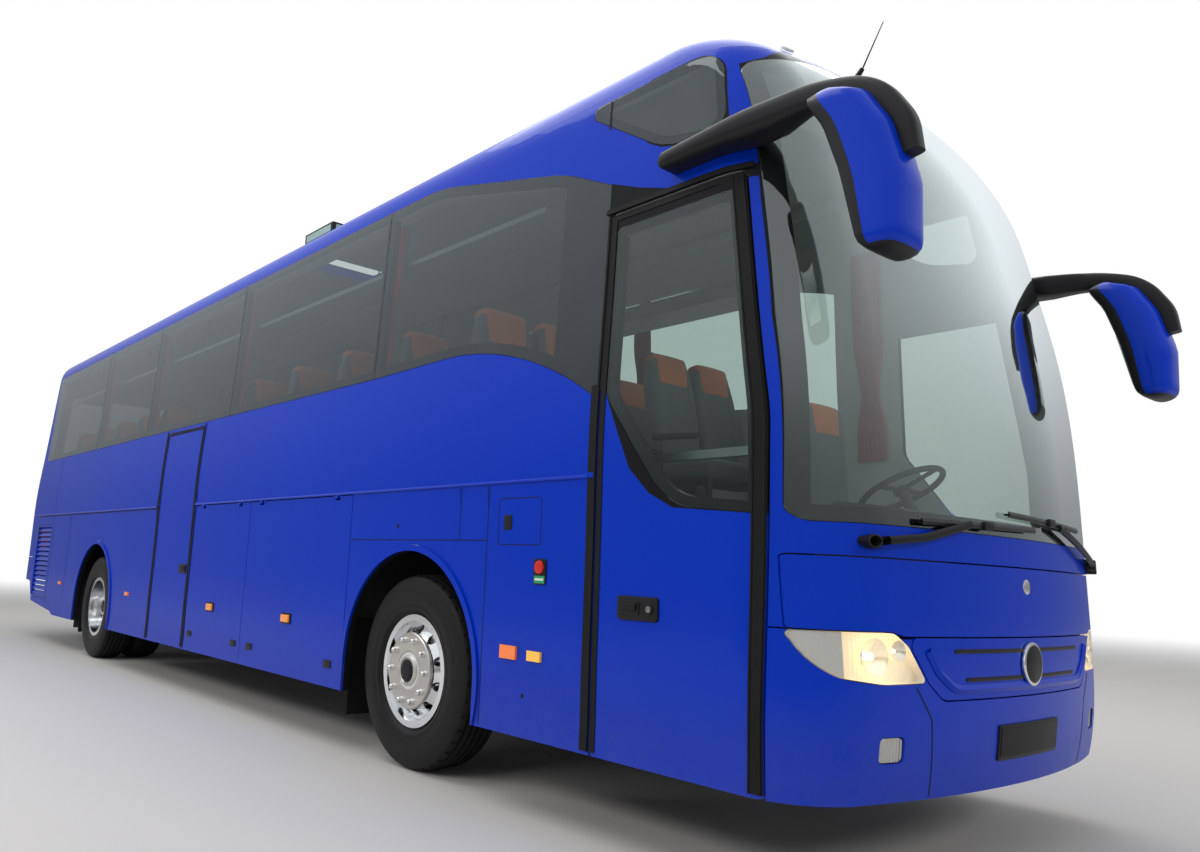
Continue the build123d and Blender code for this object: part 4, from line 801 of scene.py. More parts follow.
flapFittings = {  # luggage flap: lamps, stations of its handles
    "right_front": ([(4.23, 0.705)], (3.62, 4.79)),
    "right_rear": ([(5.57, 0.703)], (5.08, 5.97)),
    "left_front": ([(4.23, 0.705)], (3.62, 5.61)),
    "left_rear": ([(6.4, 0.703), (7.66, 0.703)], (5.96, 7.95)),
}


def flapTrim():  # lamps and handles that move with the luggage flaps
    for name, (lamps, stations) in flapFittings.items():
        face, body = name.split("_")[0], f"luggage_{name}"
        parts = []
        for u, v in lamps:
            parts.append((u, v, 0.142, 0.072, 0.008, 0.006, 0.002))
            parts.append((u, v, 0.112, 0.05, 0.008, 0.012, 0.005, 0.006, (2, 2), 1))
        plate(f"side_lamps_{name}", face, parts, [blackPlastic, amberLens], "amber_lens", body)
        parts = [(u, 0.47, 0.10, 0.046, 0.01, 0.005, 0.002) for u in stations]
        plate(f"flap_handles_{name}", face, parts, body=body)


# Wheels
tyreShape = [  # across, radius; half of the section, from the bead to the crown
    (0.108, 0.286), (0.108, 0.300), (0.116, 0.312), (0.130, 0.324), (0.137, 0.336), (0.1395, 0.345),
    (0.1380, 0.350), (0.1405, 0.362), (0.1440, 0.385), (0.1450, 0.405), (0.1445, 0.420), (0.1425, 0.428),
    (0.1430, 0.434), (0.1410, 0.450), (0.1385, 0.462), (0.1360, 0.474), (0.1310, 0.486), (0.1300, 0.4915), (0.1275, 0.497),
    (0.1240, 0.503), (0.1190, 0.509), (0.1140, 0.5112), (0.1050, 0.5160), (0.0960, 0.5190), (0.0890, 0.5197),
    (0.0870, 0.5070), (0.0780, 0.5070), (0.0760, 0.5205), (0.0460, 0.5215), (0.0440, 0.5070), (0.0350, 0.5070),
    (0.0330, 0.5216), (0.0080, 0.5220), (0.0060, 0.5080),
]
axles = {  # tyres' node, middles of the tyres, outer face of the nut ring, end of the hub
    "front": ("tyre_front", (1.09,), 1.236, 1.239),
    "rear": ("tyres_rear", (1.09, 0.756), 0.981, 1.136),
}
wheelTrim = {
    "nutCircle": 0.1675,
    "nuts": 10,
    "nutRadius": 0.0185,
    "nutHeight": 0.034,
    "discRadius": 0.205,
    "tyreSteps": 120,
}


def tyreMesh():
    bm = bmesh.new()
    mirrored = [(-across, radius) for across, radius in reversed(tyreShape)]
    turnedShape(bm, tyreShape + mirrored, wheelTrim["tyreSteps"], closed=True)
    outwards(bm)
    pitch = 2 * math.pi / wheelTrim["tyreSteps"]
    shoulders = []
    for f in bm.faces:
        middle = f.calc_center_median()
        across, radius = abs(middle.x), math.hypot(middle.y, middle.z)
        index = int(math.atan2(middle.z, middle.y) % (2 * math.pi) / pitch)
        if radius > 0.508 and 0.096 < across < 0.122 and index % 3 == 0:
            shoulders.append(f)
    bmesh.ops.inset_region(bm, faces=shoulders, thickness=0.002, depth=-0.006, use_even_offset=True)
    return keepMesh("tyreTemplate", bm)


def nutCapMesh():
    r, h = wheelTrim["nutRadius"], wheelTrim["nutHeight"]
    bm = bmesh.new()
    turns = [i * math.pi / 10 for i in range(5)]
    dome = [(h * 0.62 + h * 0.38 * math.sin(a), r * 0.86 * math.cos(a)) for a in turns]
    turnedShape(bm, [(0, r), (h * 0.18, r), (h * 0.24, r * 0.86)] + dome + [(h, 0.0004)], 20)
    closeRims(bm)
    return keepMesh("nutTemplate", bm)


def discMesh():  # the satin face that carries the nut covers
    bm = bmesh.new()
    reach, ring = wheelTrim["discRadius"], wheelTrim["nutCircle"]
    turnedShape(bm, [
        (-0.020, reach), (-0.004, reach), (0.0005, reach - 0.004), (0.0012, ring + 0.02),
        (0.0012, ring - 0.022), (-0.002, 0.115), (0.0012, 0.108), (0.0012, 0.08),
    ], 64)
    outwards(bm)
    return keepMesh("discTemplate", bm)


def closeRims(bm):
    bmesh.ops.holes_fill(bm, edges=[e for e in bm.edges if e.is_boundary])
    outwards(bm)


def hubMesh():
    bm = bmesh.new()
    cup = [(-0.03, 0.082), (0.004, 0.082), (0.010, 0.076), (0.011, 0.066), (0.006, 0.062), (0.006, 0.001)]
    turnedShape(bm, cup, 48)
    rings = len(bm.faces)
    turnedShape(bm, [(0.004, 0.060), (0.011, 0.059), (0.015, 0.052), (0.017, 0.030), (0.0175, 0.0008)], 48)
    paintFrom(bm, rings, 1)
    closeRims(bm)
    return keepMesh("hubTemplate", bm)


def paintFrom(bm, start, material):  # the faces made last take a material
    bm.faces.ensure_lookup_table()
    for f in bm.faces[start:]:
        f.material_index = material


def wheels():
    tyre, nut, hub, disc = tyreMesh(), nutCapMesh(), hubMesh(), discMesh()
    count = wheelTrim["nuts"]
    ring = bmesh.new()
    for i in range(count):
        spin = Matrix.Rotation(2 * math.pi * i / count, 4, "X")
        stamp(ring, nut, spin @ Matrix.Translation((0, wheelTrim["nutCircle"], 0)))
    nuts = keepMesh("nutRing", ring)
    for axle, (node, middles, nutFace, hubEnd) in axles.items():
        for side, word in sides:
            body = f"{axle}_wheel_{word}"

            def made(name, places, template, finish, slot="wheel_alloy", sharp=40, turned=True):
                bm = bmesh.new()
                turn = Matrix.Rotation(math.pi if turned and side < 0 else 0, 4, "Z")
                for across in places:
                    centre = (side * across, at(coach[f"{axle}Axle"]), coach["wheelHeight"])
                    stamp(bm, template, Matrix.Translation(centre) @ turn)
                return settle(f"{name}_{axle}_{word}", bm, finish, slot, body, sharp)

            rubbers = made("tyre", middles, tyre, tyreRubber[axle], "tyre", turned=False)
            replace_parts(rubbers, f"{node}_{word}")
            made("nut_caps", [nutFace], nuts, chrome)
            if len(middles) == 1:
                made("hub_disc", [nutFace], disc, satin, sharp=30)
            made("hub_cap", [hubEnd], hub, [satin, blackPlastic])


# Headlamps: a clear cover over reflectors
lamp = {
    "depth": 0.034,
    "bowls": ((0.985, 0.842, 0.062), (0.872, 0.862, 0.036)),
    "flute": 1.105,
    "fluteGap": 0.0045,
    "bulb": 0.2,
    "split": 0.7,
}


def bowlMesh(radius):  # an open dish, its rim towards +X
    bm = bmesh.new()
    rings = [radius * i / 8 for i in range(1, 9)]
    shape = [(-0.030, 0.0005)] + [(-0.030 + 0.026 * (r / radius) ** 2, r) for r in rings]
    turnedShape(bm, shape + [(-0.002, radius * 1.08), (-0.008, radius * 1.1)], 40)
    return keepMesh("bowlTemplate", bm)


def lampSkin(side, above):  # a merged copy of a lamp's outer skin; its sides run straight back
    bm = bmesh.new()
    bm.from_mesh(nodes["headlamps"].data)
    bmesh.ops.remove_doubles(bm, verts=bm.verts, dist=1e-5)

    def kept(f):
        middle = f.calc_center_median()
        return middle.x * side > 0 and (middle.z > lamp["split"]) == above and f.normal.y < -0.04

    bmesh.ops.delete(bm, geom=[f for f in bm.faces if not kept(f)], context="FACES")
    return bm


def thicken(bm, thickness):
    bmesh.ops.solidify(bm, geom=list(bm.faces), thickness=thickness)
    outwards(bm)
    return bm


def lampBowl(bm):  # the cover's outline drawn back into a shallow tray
    rims = [e for e in bm.edges if e.is_boundary]
    grown = bmesh.ops.extrude_edge_only(bm, edges=rims)["geom"]
    front = {g for g in grown if isinstance(g, bmesh.types.BMVert)}
    for v in bm.verts:
        if v not in front:
            v.co += Vector((-v.co.x * 0.12, 1, 0)).normalized() * lamp["depth"]
    outwards(bm)
    bmesh.ops.reverse_faces(bm, faces=bm.faces)
    return bm


def lampFlutes(bm, side):  # a fluted plate behind the cover's outer end
    bmesh.ops.bisect_plane(
        bm, geom=bm.verts[:] + bm.edges[:] + bm.faces[:], plane_co=(side * lamp["flute"], 0, 0),
        plane_no=(side, 0, 0), clear_inner=True,
    )
    bm.normal_update()
    for v in bm.verts:
        v.co -= v.normal * lamp["fluteGap"]
    return thicken(bm, 0.002)


def lampReflectors(side):
    bm = bmesh.new()
    turn = Matrix.Rotation(math.radians(-90 + side * 12), 4, "Z")
    places = [(skinPoint("nose", side * x, z)[0], radius) for x, z, radius in lamp["bowls"]]
    for place, radius in places:
        stamp(bm, bowlMesh(radius), Matrix.Translation(place + Vector((0, 0.006, 0))) @ turn)
    for place, radius in places:  # after the bowls, as a sphere changes the order of the vertices
        start = len(bm.faces)
        bulb = Matrix.Translation(place + Vector((0, 0.026, 0)))
        bmesh.ops.create_uvsphere(bm, u_segments=16, v_segments=10, radius=radius * lamp["bulb"], matrix=bulb)
        paintFrom(bm, start, 1)
    return bm


def headlamps():
    for side, word in sides:
        skinPart = lampSkin(side, True)
        tray, flutes = lampBowl(skinPart.copy()), lampFlutes(skinPart.copy(), side)
        made = settle(f"headlamp_cover_{word}", thicken(skinPart, 0.003), lensClear, "lamp_glass")
        if side < 0:
            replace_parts(made, "headlamps")
        settle(f"headlamp_bowl_{word}", tray, lampBezel, "wheel_alloy")
        settle(f"headlamp_flutes_{word}", flutes, fluteLens, "lamp_glass")
        reflectors = lampReflectors(side)
        settle(f"headlamp_reflectors_{word}", reflectors, [litReflector, lampGlow], "wheel_alloy", sharp=60)
        settle(f"fog_lamp_{word}", thicken(lampSkin(side, False), 0.02), fogLens, "lamp_glass")


# Nose trim
nose = {
    "plateFrame": (0.0, 0.512, 0.545, 0.135, 0.008, 0.008, 0.002, 0, (8, 2)),
    "plate": (0.0, 0.515, 0.52, 0.112, 0.006, 0.0022, 0, 0.008, (8, 2)),
    "badges": (
        (0.0, 0.807, 0.176, 0.176, 0.0875, 0.012, 0.005, 0.004),
        (0.0, 0.807, 0.150, 0.150, 0.0745, 0.004, 0.002, 0.014, (2, 2), 1),
        (0.0, 1.116, 0.062, 0.062, 0.0305, 0.004, 0.002),
    ),
    "seam": ((0.79, 0.735), (0.705, 0.62), (0.68, 0.345)),
    "slots": ((0.862, 0.57), (0.757, 0.50)),
    "lip": ((-0.725, 0.865, 0), (-0.672, 0.79, 0.06), (-0.575, 0.724, 0.12), (0.575, 0.724, 0.12),
            (0.672, 0.79, 0.06), (0.725, 0.865, 0)),
}


def noseDetails():
    plate("front_number_plate", "nose", [nose["plateFrame"]])
    plate("front_plate_face", "nose", [nose["plate"]], plateBlank)
    for side, word in sides:
        path = spread([(side * x, z) for x, z in nose["seam"]], 0.025)
        strips(f"bumper_seam_{word}", "nose", [seamRow(path, 0.006)])
    plate("nose_badges", "nose", nose["badges"], [chrome, blackPlastic], "wheel_alloy")
    slots = [(0.0, z, 2 * reach, 0.016, 0.0075, 0.003, 0.001, 0, (16, 1)) for z, reach in nose["slots"]]
    plate("grille_slots", "nose", slots)
    bm = bmesh.new()
    band(bm, spread(arcPath(list(nose["lip"]), 0.02), 0.05), 0.034, 0.004, crown=0.010)
    layOn("nose", "grille_lip", bm, plainBlue, "body_paint")


# Roof furniture
def slab(bm, low, high, soften=0.0):  # a block between two corners
    low, high = Vector(low), Vector(high)
    made = bmesh.ops.create_cube(bm, size=1.0)["verts"]
    for v in made:
        v.co = Vector(low[i] + (high[i] - low[i]) * (v.co[i] + 0.5) for i in range(3))
    if soften:
        edges = list({e for v in made for e in v.link_edges})
        bmesh.ops.bevel(bm, geom=edges, offset=soften, segments=2, profile=0.5, affect="EDGES", material=-1)


roofParts = {
    "hatch": ((-0.85, 4.87, 3.706), (-0.15, 5.35, 3.798)),
    "hatchPane": 0.003,
    "capThick": 0.008,
    "conditionerTop": 3.7023,
    "fans": ((-0.42, 6.75), (0.42, 6.75), (0.0, 7.75)),
    "fanRadius": 0.26,
    "frontMarkers": ((-0.80, 0.64), (0.80, 0.64)),
    "antenna": ((-0.3, 0.60, 3.50), (-0.3, 0.56, 3.545), (-0.3, 0.45, 3.74)),
}


def placed(x, station, z):
    return Vector((x, at(station), z))


def fanMesh():  # rings and spokes of a guard, lying flat
    bm = bmesh.new()
    radius = roofParts["fanRadius"]
    for share in (1.0, 0.8, 0.6, 0.4, 0.2):
        outer = radius * share
        inner = outer - 0.012
        ring = bmesh.new()
        turnedShape(ring, [(0.0, outer), (0.006, outer), (0.006, inner), (0.0, inner)], 40, closed=True)
        stamp(bm, keepMesh("fanRing", ring), Matrix.Rotation(math.radians(-90), 4, "Y"))
    for i in range(4):
        made = bmesh.ops.create_cube(bm, size=1.0)["verts"]
        spoke = Matrix.Rotation(math.pi * i / 4, 4, "Z") @ Matrix.Diagonal((2 * radius - 0.01, 0.012, 0.006, 1))
        bmesh.ops.transform(bm, matrix=spoke, verts=made)
    return keepMesh("fanTemplate", bm)


def roofDetails():
    bm = bmesh.new()
    foot, joint, tip = (placed(*point) for point in roofParts["antenna"])
    bar(bm, foot, joint, 0.016, 0.011)
    bar(bm, joint, tip, 0.004, 0.0022, 10)
    settle("antenna", bm, blackPlastic, "black_plastic")
    (left, front, low), (right, back, high) = roofParts["hatch"]
    pane = roofParts["hatchPane"]
    bm = bmesh.new()
    for x in (left - pane, right):
        slab(bm, placed(x, front + 0.03, low + 0.018), placed(x + pane, back - 0.03, high - 0.016))
    for station in (front - pane, back):
        slab(bm, placed(left + 0.03, station, low + 0.018), placed(right - 0.03, station + pane, high - 0.016))
    settle("hatch_panes", bm, hatchPane, "clear_glass", "hatch")
    bm = bmesh.new()
    top = high + roofParts["capThick"]
    slab(bm, placed(left + 0.07, front + 0.06, high), placed(right - 0.07, back - 0.06, top), soften=0.004)
    settle("hatch_cap", bm, darkPlastic, "black_plastic", "hatch")
    bm = bmesh.new()
    for x, station in roofParts["fans"]:
        stamp(bm, fanMesh(), Matrix.Translation(placed(x, station, roofParts["conditionerTop"])))
    outwards(bm)
    settle("conditioner_fans", bm, blackPlastic, "black_plastic")
    markers = [(x, station, 0.07, 0.03, 0.012, 0.012, 0.004) for x, station in roofParts["frontMarkers"]]
    plate("roof_marker_lamps", "roof", markers, whiteLabel, "lamp_glass")


# Back of the coach
rear = {
    "lenses": ((1.585, 0.15, 0), (1.405, 0.17, 1), (1.225, 0.15, 2)),
    "lampMiddle": 1.11,
    "reflector": (0.88, 0.775, 0.11, 0.05, 0.008, 0.006, 0.002),
    "plateFrame": (0.0, 0.80, 0.545, 0.135, 0.008, 0.008, 0.002, 0, (6, 2)),
    "plate": (0.0, 0.80, 0.52, 0.112, 0.006, 0.0022, 0, 0.008, (6, 2)),
    "louvres": (1.60, 0.028, 5),
    "handle": (0.0, 1.09, 0.15, 0.05, 0.012, 0.006, 0.002),
    "brakeLamp": (0.0, 3.285, 0.36, 0.03, 0.01, 0.008, 0.003, 0, (6, 2)),
    "pipe": (0.36, 11.40, 0.60),
    "pipeRadius": 0.05,
    "pipeLength": 0.58,
}


def rearDetails():
    for side, word in sides:
        lenses = [(side * rear["lampMiddle"], height, 0.118, tall, 0.018, 0.008, 0.003, 0, (3, 3), material)
                  for height, tall, material in rear["lenses"]]
        plate(f"tail_lenses_{word}", "rear", lenses, [amberLens, redLens, whiteLens], "red_lens")
        x, *rest = rear["reflector"]
        plate(f"rear_reflector_{word}", "rear", [(side * x, *rest)], redLens, "red_lens")
    plate("rear_number_plate", "rear", [rear["plateFrame"]])
    plate("rear_plate_face", "rear", [rear["plate"]], plateBlank)
    top, pitch, count = rear["louvres"]
    louvres = [(x, top - i * pitch, 0.50, 0.011, 0.005, 0.003, 0.001, 0, (8, 1))
               for i in range(count) for x in (-0.3, 0.3)]
    plate("engine_louvres", "rear", louvres, body="engine_lid")
    plate("engine_door_handle", "rear", [rear["handle"]], body="engine_lid")
    plate("high_brake_lamp", "rear", [rear["brakeLamp"]], redLens, "red_lens")
    radius, length = rear["pipeRadius"], rear["pipeLength"]
    bore = radius - 0.004
    bm = bmesh.new()
    turnedShape(bm, [(0.0, radius), (length, radius), (length, bore), (0.0, bore)], 32, closed=True)
    turn = Matrix.Translation(placed(*rear["pipe"])) @ Matrix.Rotation(math.radians(90), 4, "Z")
    bmesh.ops.transform(bm, matrix=turn, verts=bm.verts)
    outwards(bm)
    settle("tailpipe", bm, steel, "door_steel")


# Splash plates that close the wheel arches towards the middle and the rear. Columns: x, stations, heights
splashPlates = {
    "behind_rear_wheels": (
        ((0.562, 1.228), (9.582, 9.585), (0.25, 1.315)), ((-1.228, -0.562), (9.582, 9.585), (0.25, 1.315)),
        ((-0.478, 0.478), (9.582, 9.585), (0.52, 1.315)),
    ),
    "beside_front_wheels": (
        ((0.545, 0.548), (1.97, 3.455), (0.56, 1.315)), ((-0.548, -0.545), (1.97, 3.455), (0.56, 1.315)),
    ),
    "beside_rear_wheels": (
        ((0.562, 0.565), (8.18, 9.575), (0.56, 1.315)), ((-0.565, -0.562), (8.18, 9.575), (0.56, 1.315)),
    ),
}


def wheelHousings():
    for place, plates in splashPlates.items():
        bm = bmesh.new()
        for spans in plates:
            slab(bm, *(placed(*corner) for corner in zip(*spans)))
        outwards(bm)
        settle(f"splash_plates_{place}", bm, chassis, "underbody")


# Wipers over their CAD forms: flat arms, thin blades and round pivots
wiper = {
    "arms": (((-1.0, 1.248), (-0.76, 1.275), (-0.48, 1.342)), ((0.94, 1.240), (0.56, 1.330), (0.33, 1.380)),
             ((0.985, 1.224), (0.61, 1.318), (0.392, 1.378))),
    "widths": (0.030, 0.030, 0.016),
    "blades": (((-0.76, 1.336), (0.06, 1.352)), ((-0.17, 1.404), (0.64, 1.386))),
    "pivotRadius": 0.026,
}


def wipers():
    bm = bmesh.new()
    for (start, bend, end), width in zip(wiper["arms"], wiper["widths"]):
        path = arcPath([(*start, 0), (*bend, 0.2), (*end, 0)], 0.02)
        band(bm, spread(path, 0.06), width, 0.012, 0.028, crown=0.005)
    for path in wiper["blades"]:
        full = spread(path, 0.06)
        band(bm, full, 0.008, 0.014, 0.006)
        band(bm, full, 0.024, 0.006, 0.020, crown=0.006)
        u, v = ((first + last) / 2 for first, last in zip(*path))
        roundRect(bm, u, v, 0.07, 0.034, 0.008, 0.014, 0.003, 0.026)
    radius = wiper["pivotRadius"]
    for (u, v), *_ in wiper["arms"]:
        roundRect(bm, u, v, 2 * radius, 2 * radius, radius * 0.98, 0.046, 0.006)
    made = layOn("nose", "wiper_blades", bm, blackPlastic, "black_plastic", sharp=40)
    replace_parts(made, "wipers")


mirror = {
    "middle": 1.302,
    "halfWidth": 0.122,
    "front": ((2.180, -0.182), (2.24, -0.195), (2.44, -0.202), (2.64, -0.150), (2.79, -0.060), (2.836, 0.05)),
    "rear": ((2.180, -0.060), (2.24, -0.034), (2.50, 0.028), (2.68, 0.088), (2.80, 0.165), (2.836, 0.10)),
    "rows": 26,
    "columns": 32,
    "band": 7,
    "bandEdge": 0.019,
    "glass": (0.158, 0.32),
    "glassLean": -13.5,
    "drops": ((-1, 0.0, "right"), (1, 0.092, "left")),
}


def readRow(rows, z):
    for (low, first), (high, last) in zip(rows, rows[1:]):
        if z <= high:
            return first + (last - first) * (z - low) / (high - low)
    return rows[-1][1]


def rounded(value, power):
    return math.copysign(abs(value) ** power, value)


def mirrorShell(side, drop):  # rings from the foot to the head, fuller in front and flat behind
    bm = bmesh.new()
    rows, columns = mirror["rows"], mirror["columns"]
    made = bmesh.ops.create_grid(bm, x_segments=columns, y_segments=rows, size=0.5)["verts"]
    low, high = mirror["front"][0][0], mirror["front"][-1][0]
    band = mirror["band"]
    for f in bm.faces:
        middle = f.calc_center_median()
        column = int((middle.x + 0.5) * columns)
        behind = abs(column + 0.5 - columns / 4) < band
        f.material_index = 1 if behind or middle.y < -0.5 + 3.0 / rows else 0
    for v in made:
        column = round((v.co.x + 0.5) * columns)
        edges = {1: mirror["bandEdge"], columns // 2 - 1: math.pi - mirror["bandEdge"]}
        turn = edges.get(column, column * 2 * math.pi / columns)
        share = 0.5 - 0.5 * math.cos((v.co.y + 0.5) * math.pi)
        z = low + share * (high - low)
        front, rear = readRow(mirror["front"], z), readRow(mirror["rear"], z)
        foot, head = min(1, (z - low) / 0.045), min(1, (high - z) / 0.07)
        scale = math.sqrt(max(0, 1 - (1 - foot) ** 2)) * math.sqrt(max(0, 1 - (1 - head) ** 2))
        across = rounded(math.cos(turn), 0.62) * mirror["halfWidth"] * (0.35 + 0.65 * scale)
        power = 0.22 if math.sin(turn) > 0 else 0.85
        along = rounded(math.sin(turn), power) * (rear - front) / 2 * scale
        v.co = Vector((side * (mirror["middle"] + across), at((front + rear) / 2 + along), z - drop))
    bmesh.ops.remove_doubles(bm, verts=bm.verts, dist=1e-5)
    outwards(bm)
    return bm


mirrorArm = {
    "path": [
        (0.93, 2.852, 0), (0.48, 2.884, 1.5), (0.15, 2.872, 0.9), (-0.07, 2.80, 0.26),
        (-0.176, 2.64, 0.18), (-0.196, 2.52, 0),
    ],
    "rows": [  # along the arm: above and below the path, inner and outer side
        (0.0, 0.026, 0.026, 1.19, 1.322), (0.025, 0.040, 0.038, 1.19, 1.334),
        (0.30, 0.044, 0.052, 1.18, 1.340), (0.45, 0.045, 0.074, 1.165, 1.342),
        (0.58, 0.045, 0.074, 1.18, 1.342), (0.74, 0.045, 0.056, 1.245, 1.342),
        (0.92, 0.045, 0.046, 1.262, 1.342), (1.06, 0.045, 0.043, 1.262, 1.342),
        (1.22, 0.040, 0.040, 1.266, 1.338), (1.40, 0.034, 0.034, 1.272, 1.332),
    ],
    "columns": 28,
    "step": 0.025,
    "onBody": 0.66,
}


def mirrorArmMesh(side, drop):  # rounded sections along the CAD arm's path, clasping the body at the root
    path = [Vector(p) for p in spread(arcPath(mirrorArm["path"], 0.02), mirrorArm["step"])]
    count, columns = len(path) - 1, mirrorArm["columns"]
    runs = [0.0]
    for first, last in zip(path, path[1:]):
        runs.append(runs[-1] + (last - first).length)
    bm = bmesh.new()
    made = bmesh.ops.create_grid(bm, x_segments=count, y_segments=columns, size=0.5)["verts"]
    for v in made:
        i, turn = round((v.co.x + 0.5) * count), (v.co.y + 0.5) * 2 * math.pi
        way = (path[min(i + 1, count)] - path[max(i - 1, 0)]).normalized()
        above, below, inner, outer = (
            readRow([(row[0], row[k]) for row in mirrorArm["rows"]], runs[i]) for k in (1, 2, 3, 4)
        )
        lift = rounded(math.sin(turn), 0.55)
        lift *= above if lift > 0 else below
        place = path[i] + Vector((way.y, -way.x)) * lift
        across = (inner + outer) / 2 + rounded(math.cos(turn), 0.55) * (outer - inner) / 2
        if runs[i] < mirrorArm["onBody"]:
            hit = abs(skinPoint("right", place.x, place.y - drop)[0].x)
            if 1.0 < hit < 1.3:
                across = max(across, hit - 0.004)
        v.co = Vector((side * across, at(place.x), place.y - drop))
    bmesh.ops.remove_doubles(bm, verts=bm.verts, dist=1e-6)
    closeRims(bm)
    return bm


def mirrors():
    for side, drop, word in mirror["drops"]:
        shell, arm = mirrorShell(side, drop), mirrorArmMesh(side, drop)
        shell = settle(f"mirror_shell_{word}", shell, [plainBlue, blackPlastic], "body_paint", sharp=50)
        arm = settle(f"mirror_arm_{word}", arm, blackPlastic, "black_plastic", sharp=50)
        if side < 0:
            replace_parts(shell, "mirror_heads")
            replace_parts(arm, "mirror_arms")
        bm = bmesh.new()
        roundRect(bm, 0, 0, *mirror["glass"], 0.03, 0.004, 0.001)
        turn = Matrix.Rotation(math.radians(mirror["glassLean"] - 90), 4, "X")
        place = Matrix.Translation(placed(side * mirror["middle"], 0.001, 2.40 - drop))
        bmesh.ops.transform(bm, matrix=place @ turn, verts=bm.verts)
        outwards(bm)
        settle(f"mirror_glass_{word}", bm, mirrorSilver, "clear_glass")


# Seats: each place has a cushion, a back and a headrest cover
seat = {
    "width": 0.419,
    "cushionDepth": 0.47,
    "backFoot": 0.41,
    "backTop": 1.19,
    "backThick": 0.095,
    "recline": 0.115,
    "aisle": 0.275,
    "place": 0.435,
    "pitch": 0.78,
    "rows": ((-1, 1.93, 5), (-1, 7.16, 5), (1, 1.93, 12)),
    "frame": (  # armrest, grip and legs: inset, ends, radius
        (0.20, (0.10, 0.60), (0.46, 0.62), 0.022), (0.12, (0.575, 1.15), (0.575, 1.21), 0.014),
        (0.14, (0.06, 0.001), (0.06, 0.34), 0.018), (0.14, (0.42, 0.001), (0.42, 0.34), 0.018),
    ),
}


def pad(width, depth, height, crown, pinch, cuts=5):  # a crowned cushion with its corners drawn in
    bm = bmesh.new()
    half = Vector((width, depth, height)) / 2
    slab(bm, -half, half, soften=min(width, depth, height) * 0.3)
    long = [e for e in bm.edges if e.calc_length() > 0.1]
    bmesh.ops.subdivide_edges(bm, edges=long, cuts=cuts, use_grid_fill=True)
    for v in bm.verts:
        u, w, t = 2 * v.co.x / width, 2 * v.co.y / depth, 2 * v.co.z / height
        swell = max(0, 1 - u * u) * max(0, 1 - w * w)
        v.co.z += crown * swell * (1 if t > 0 else -0.3)
        side = 1 - pinch * u * u * w * w
        v.co.x *= side
        v.co.y *= side
    return bm


def seatMesh():  # one place, front towards -Y, its middle at x = 0 and its floor at z = 0
    bm = pad(seat["width"], seat["cushionDepth"], 0.12, 0.018, 0.05)
    bmesh.ops.translate(bm, vec=(0, seat["cushionDepth"] / 2 - 0.005, 0.395), verts=bm.verts)
    cushion = keepMesh("cushionTemplate", bm)
    tall = seat["backTop"] - seat["backFoot"]
    bm = pad(seat["width"], tall, seat["backThick"], 0.016, 0.06, 6)
    for v in bm.verts:  # side bolsters and a narrower head
        u, w = 2 * v.co.x / seat["width"], 2 * v.co.y / tall
        if v.co.z > 0:
            v.co.z += 0.02 * max(0, abs(u) - 0.55) / 0.45 * (1 - max(0, w) * 0.8)
        v.co.x *= 1 - 0.20 * max(0, w - 0.45) / 0.55
    slope = math.atan2(seat["recline"], tall)
    matrix = (
        Matrix.Translation((0, seat["cushionDepth"] + 0.04, (seat["backFoot"] + seat["backTop"]) / 2 + 0.005))
        @ Matrix.Rotation(-slope, 4, "X") @ Matrix.Rotation(math.radians(90), 4, "X")
    )
    bmesh.ops.transform(bm, matrix=matrix, verts=bm.verts)
    back = keepMesh("backTemplate", bm)
    bm = pad(seat["width"] * 0.80, 0.25, seat["backThick"] + 0.014, 0.010, 0.05, 4)
    bmesh.ops.translate(bm, vec=(0, tall / 2 - 0.115, 0), verts=bm.verts)
    bmesh.ops.transform(bm, matrix=matrix, verts=bm.verts)
    head = keepMesh("headTemplate", bm)
    return cushion, back, head


def seatPlaces():
    for side, first, count in seat["rows"]:
        for row in range(count):
            for place in (0, 1):
                x = side * (seat["aisle"] + seat["place"] * (place + 0.5))
                yield place, side, placed(x, first + row * seat["pitch"], coach["floor"])


def padded(name, bm, finish):
    made = settle(name, bm, finish, "seat_cloth", sharp=60)
    return made


def seats():
    cushion, back, head = seatMesh()
    cloth, covers, frames = bmesh.new(), bmesh.new(), bmesh.new()
    for place, side, spot in seatPlaces():
        move = Matrix.Translation(spot)
        for template in (cushion, back):
            stamp(cloth, template, move)
        stamp(covers, head, move)
        x, y, z = spot
        for inset, start, end, radius in seat["frame"] if place == 0 else ():
            bar(frames, *((x - side * inset, y + along, z + up) for along, up in (start, end)), radius)
    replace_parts(padded("seat_cushions", cloth, seatCloth), "seats")
    padded("seat_head_covers", covers, orangeCloth)
    settle("seat_frames", frames, darkPlastic, "dark_plastic")


driver = {"middle": 0.62, "station": 1.0, "floor": 0.96}


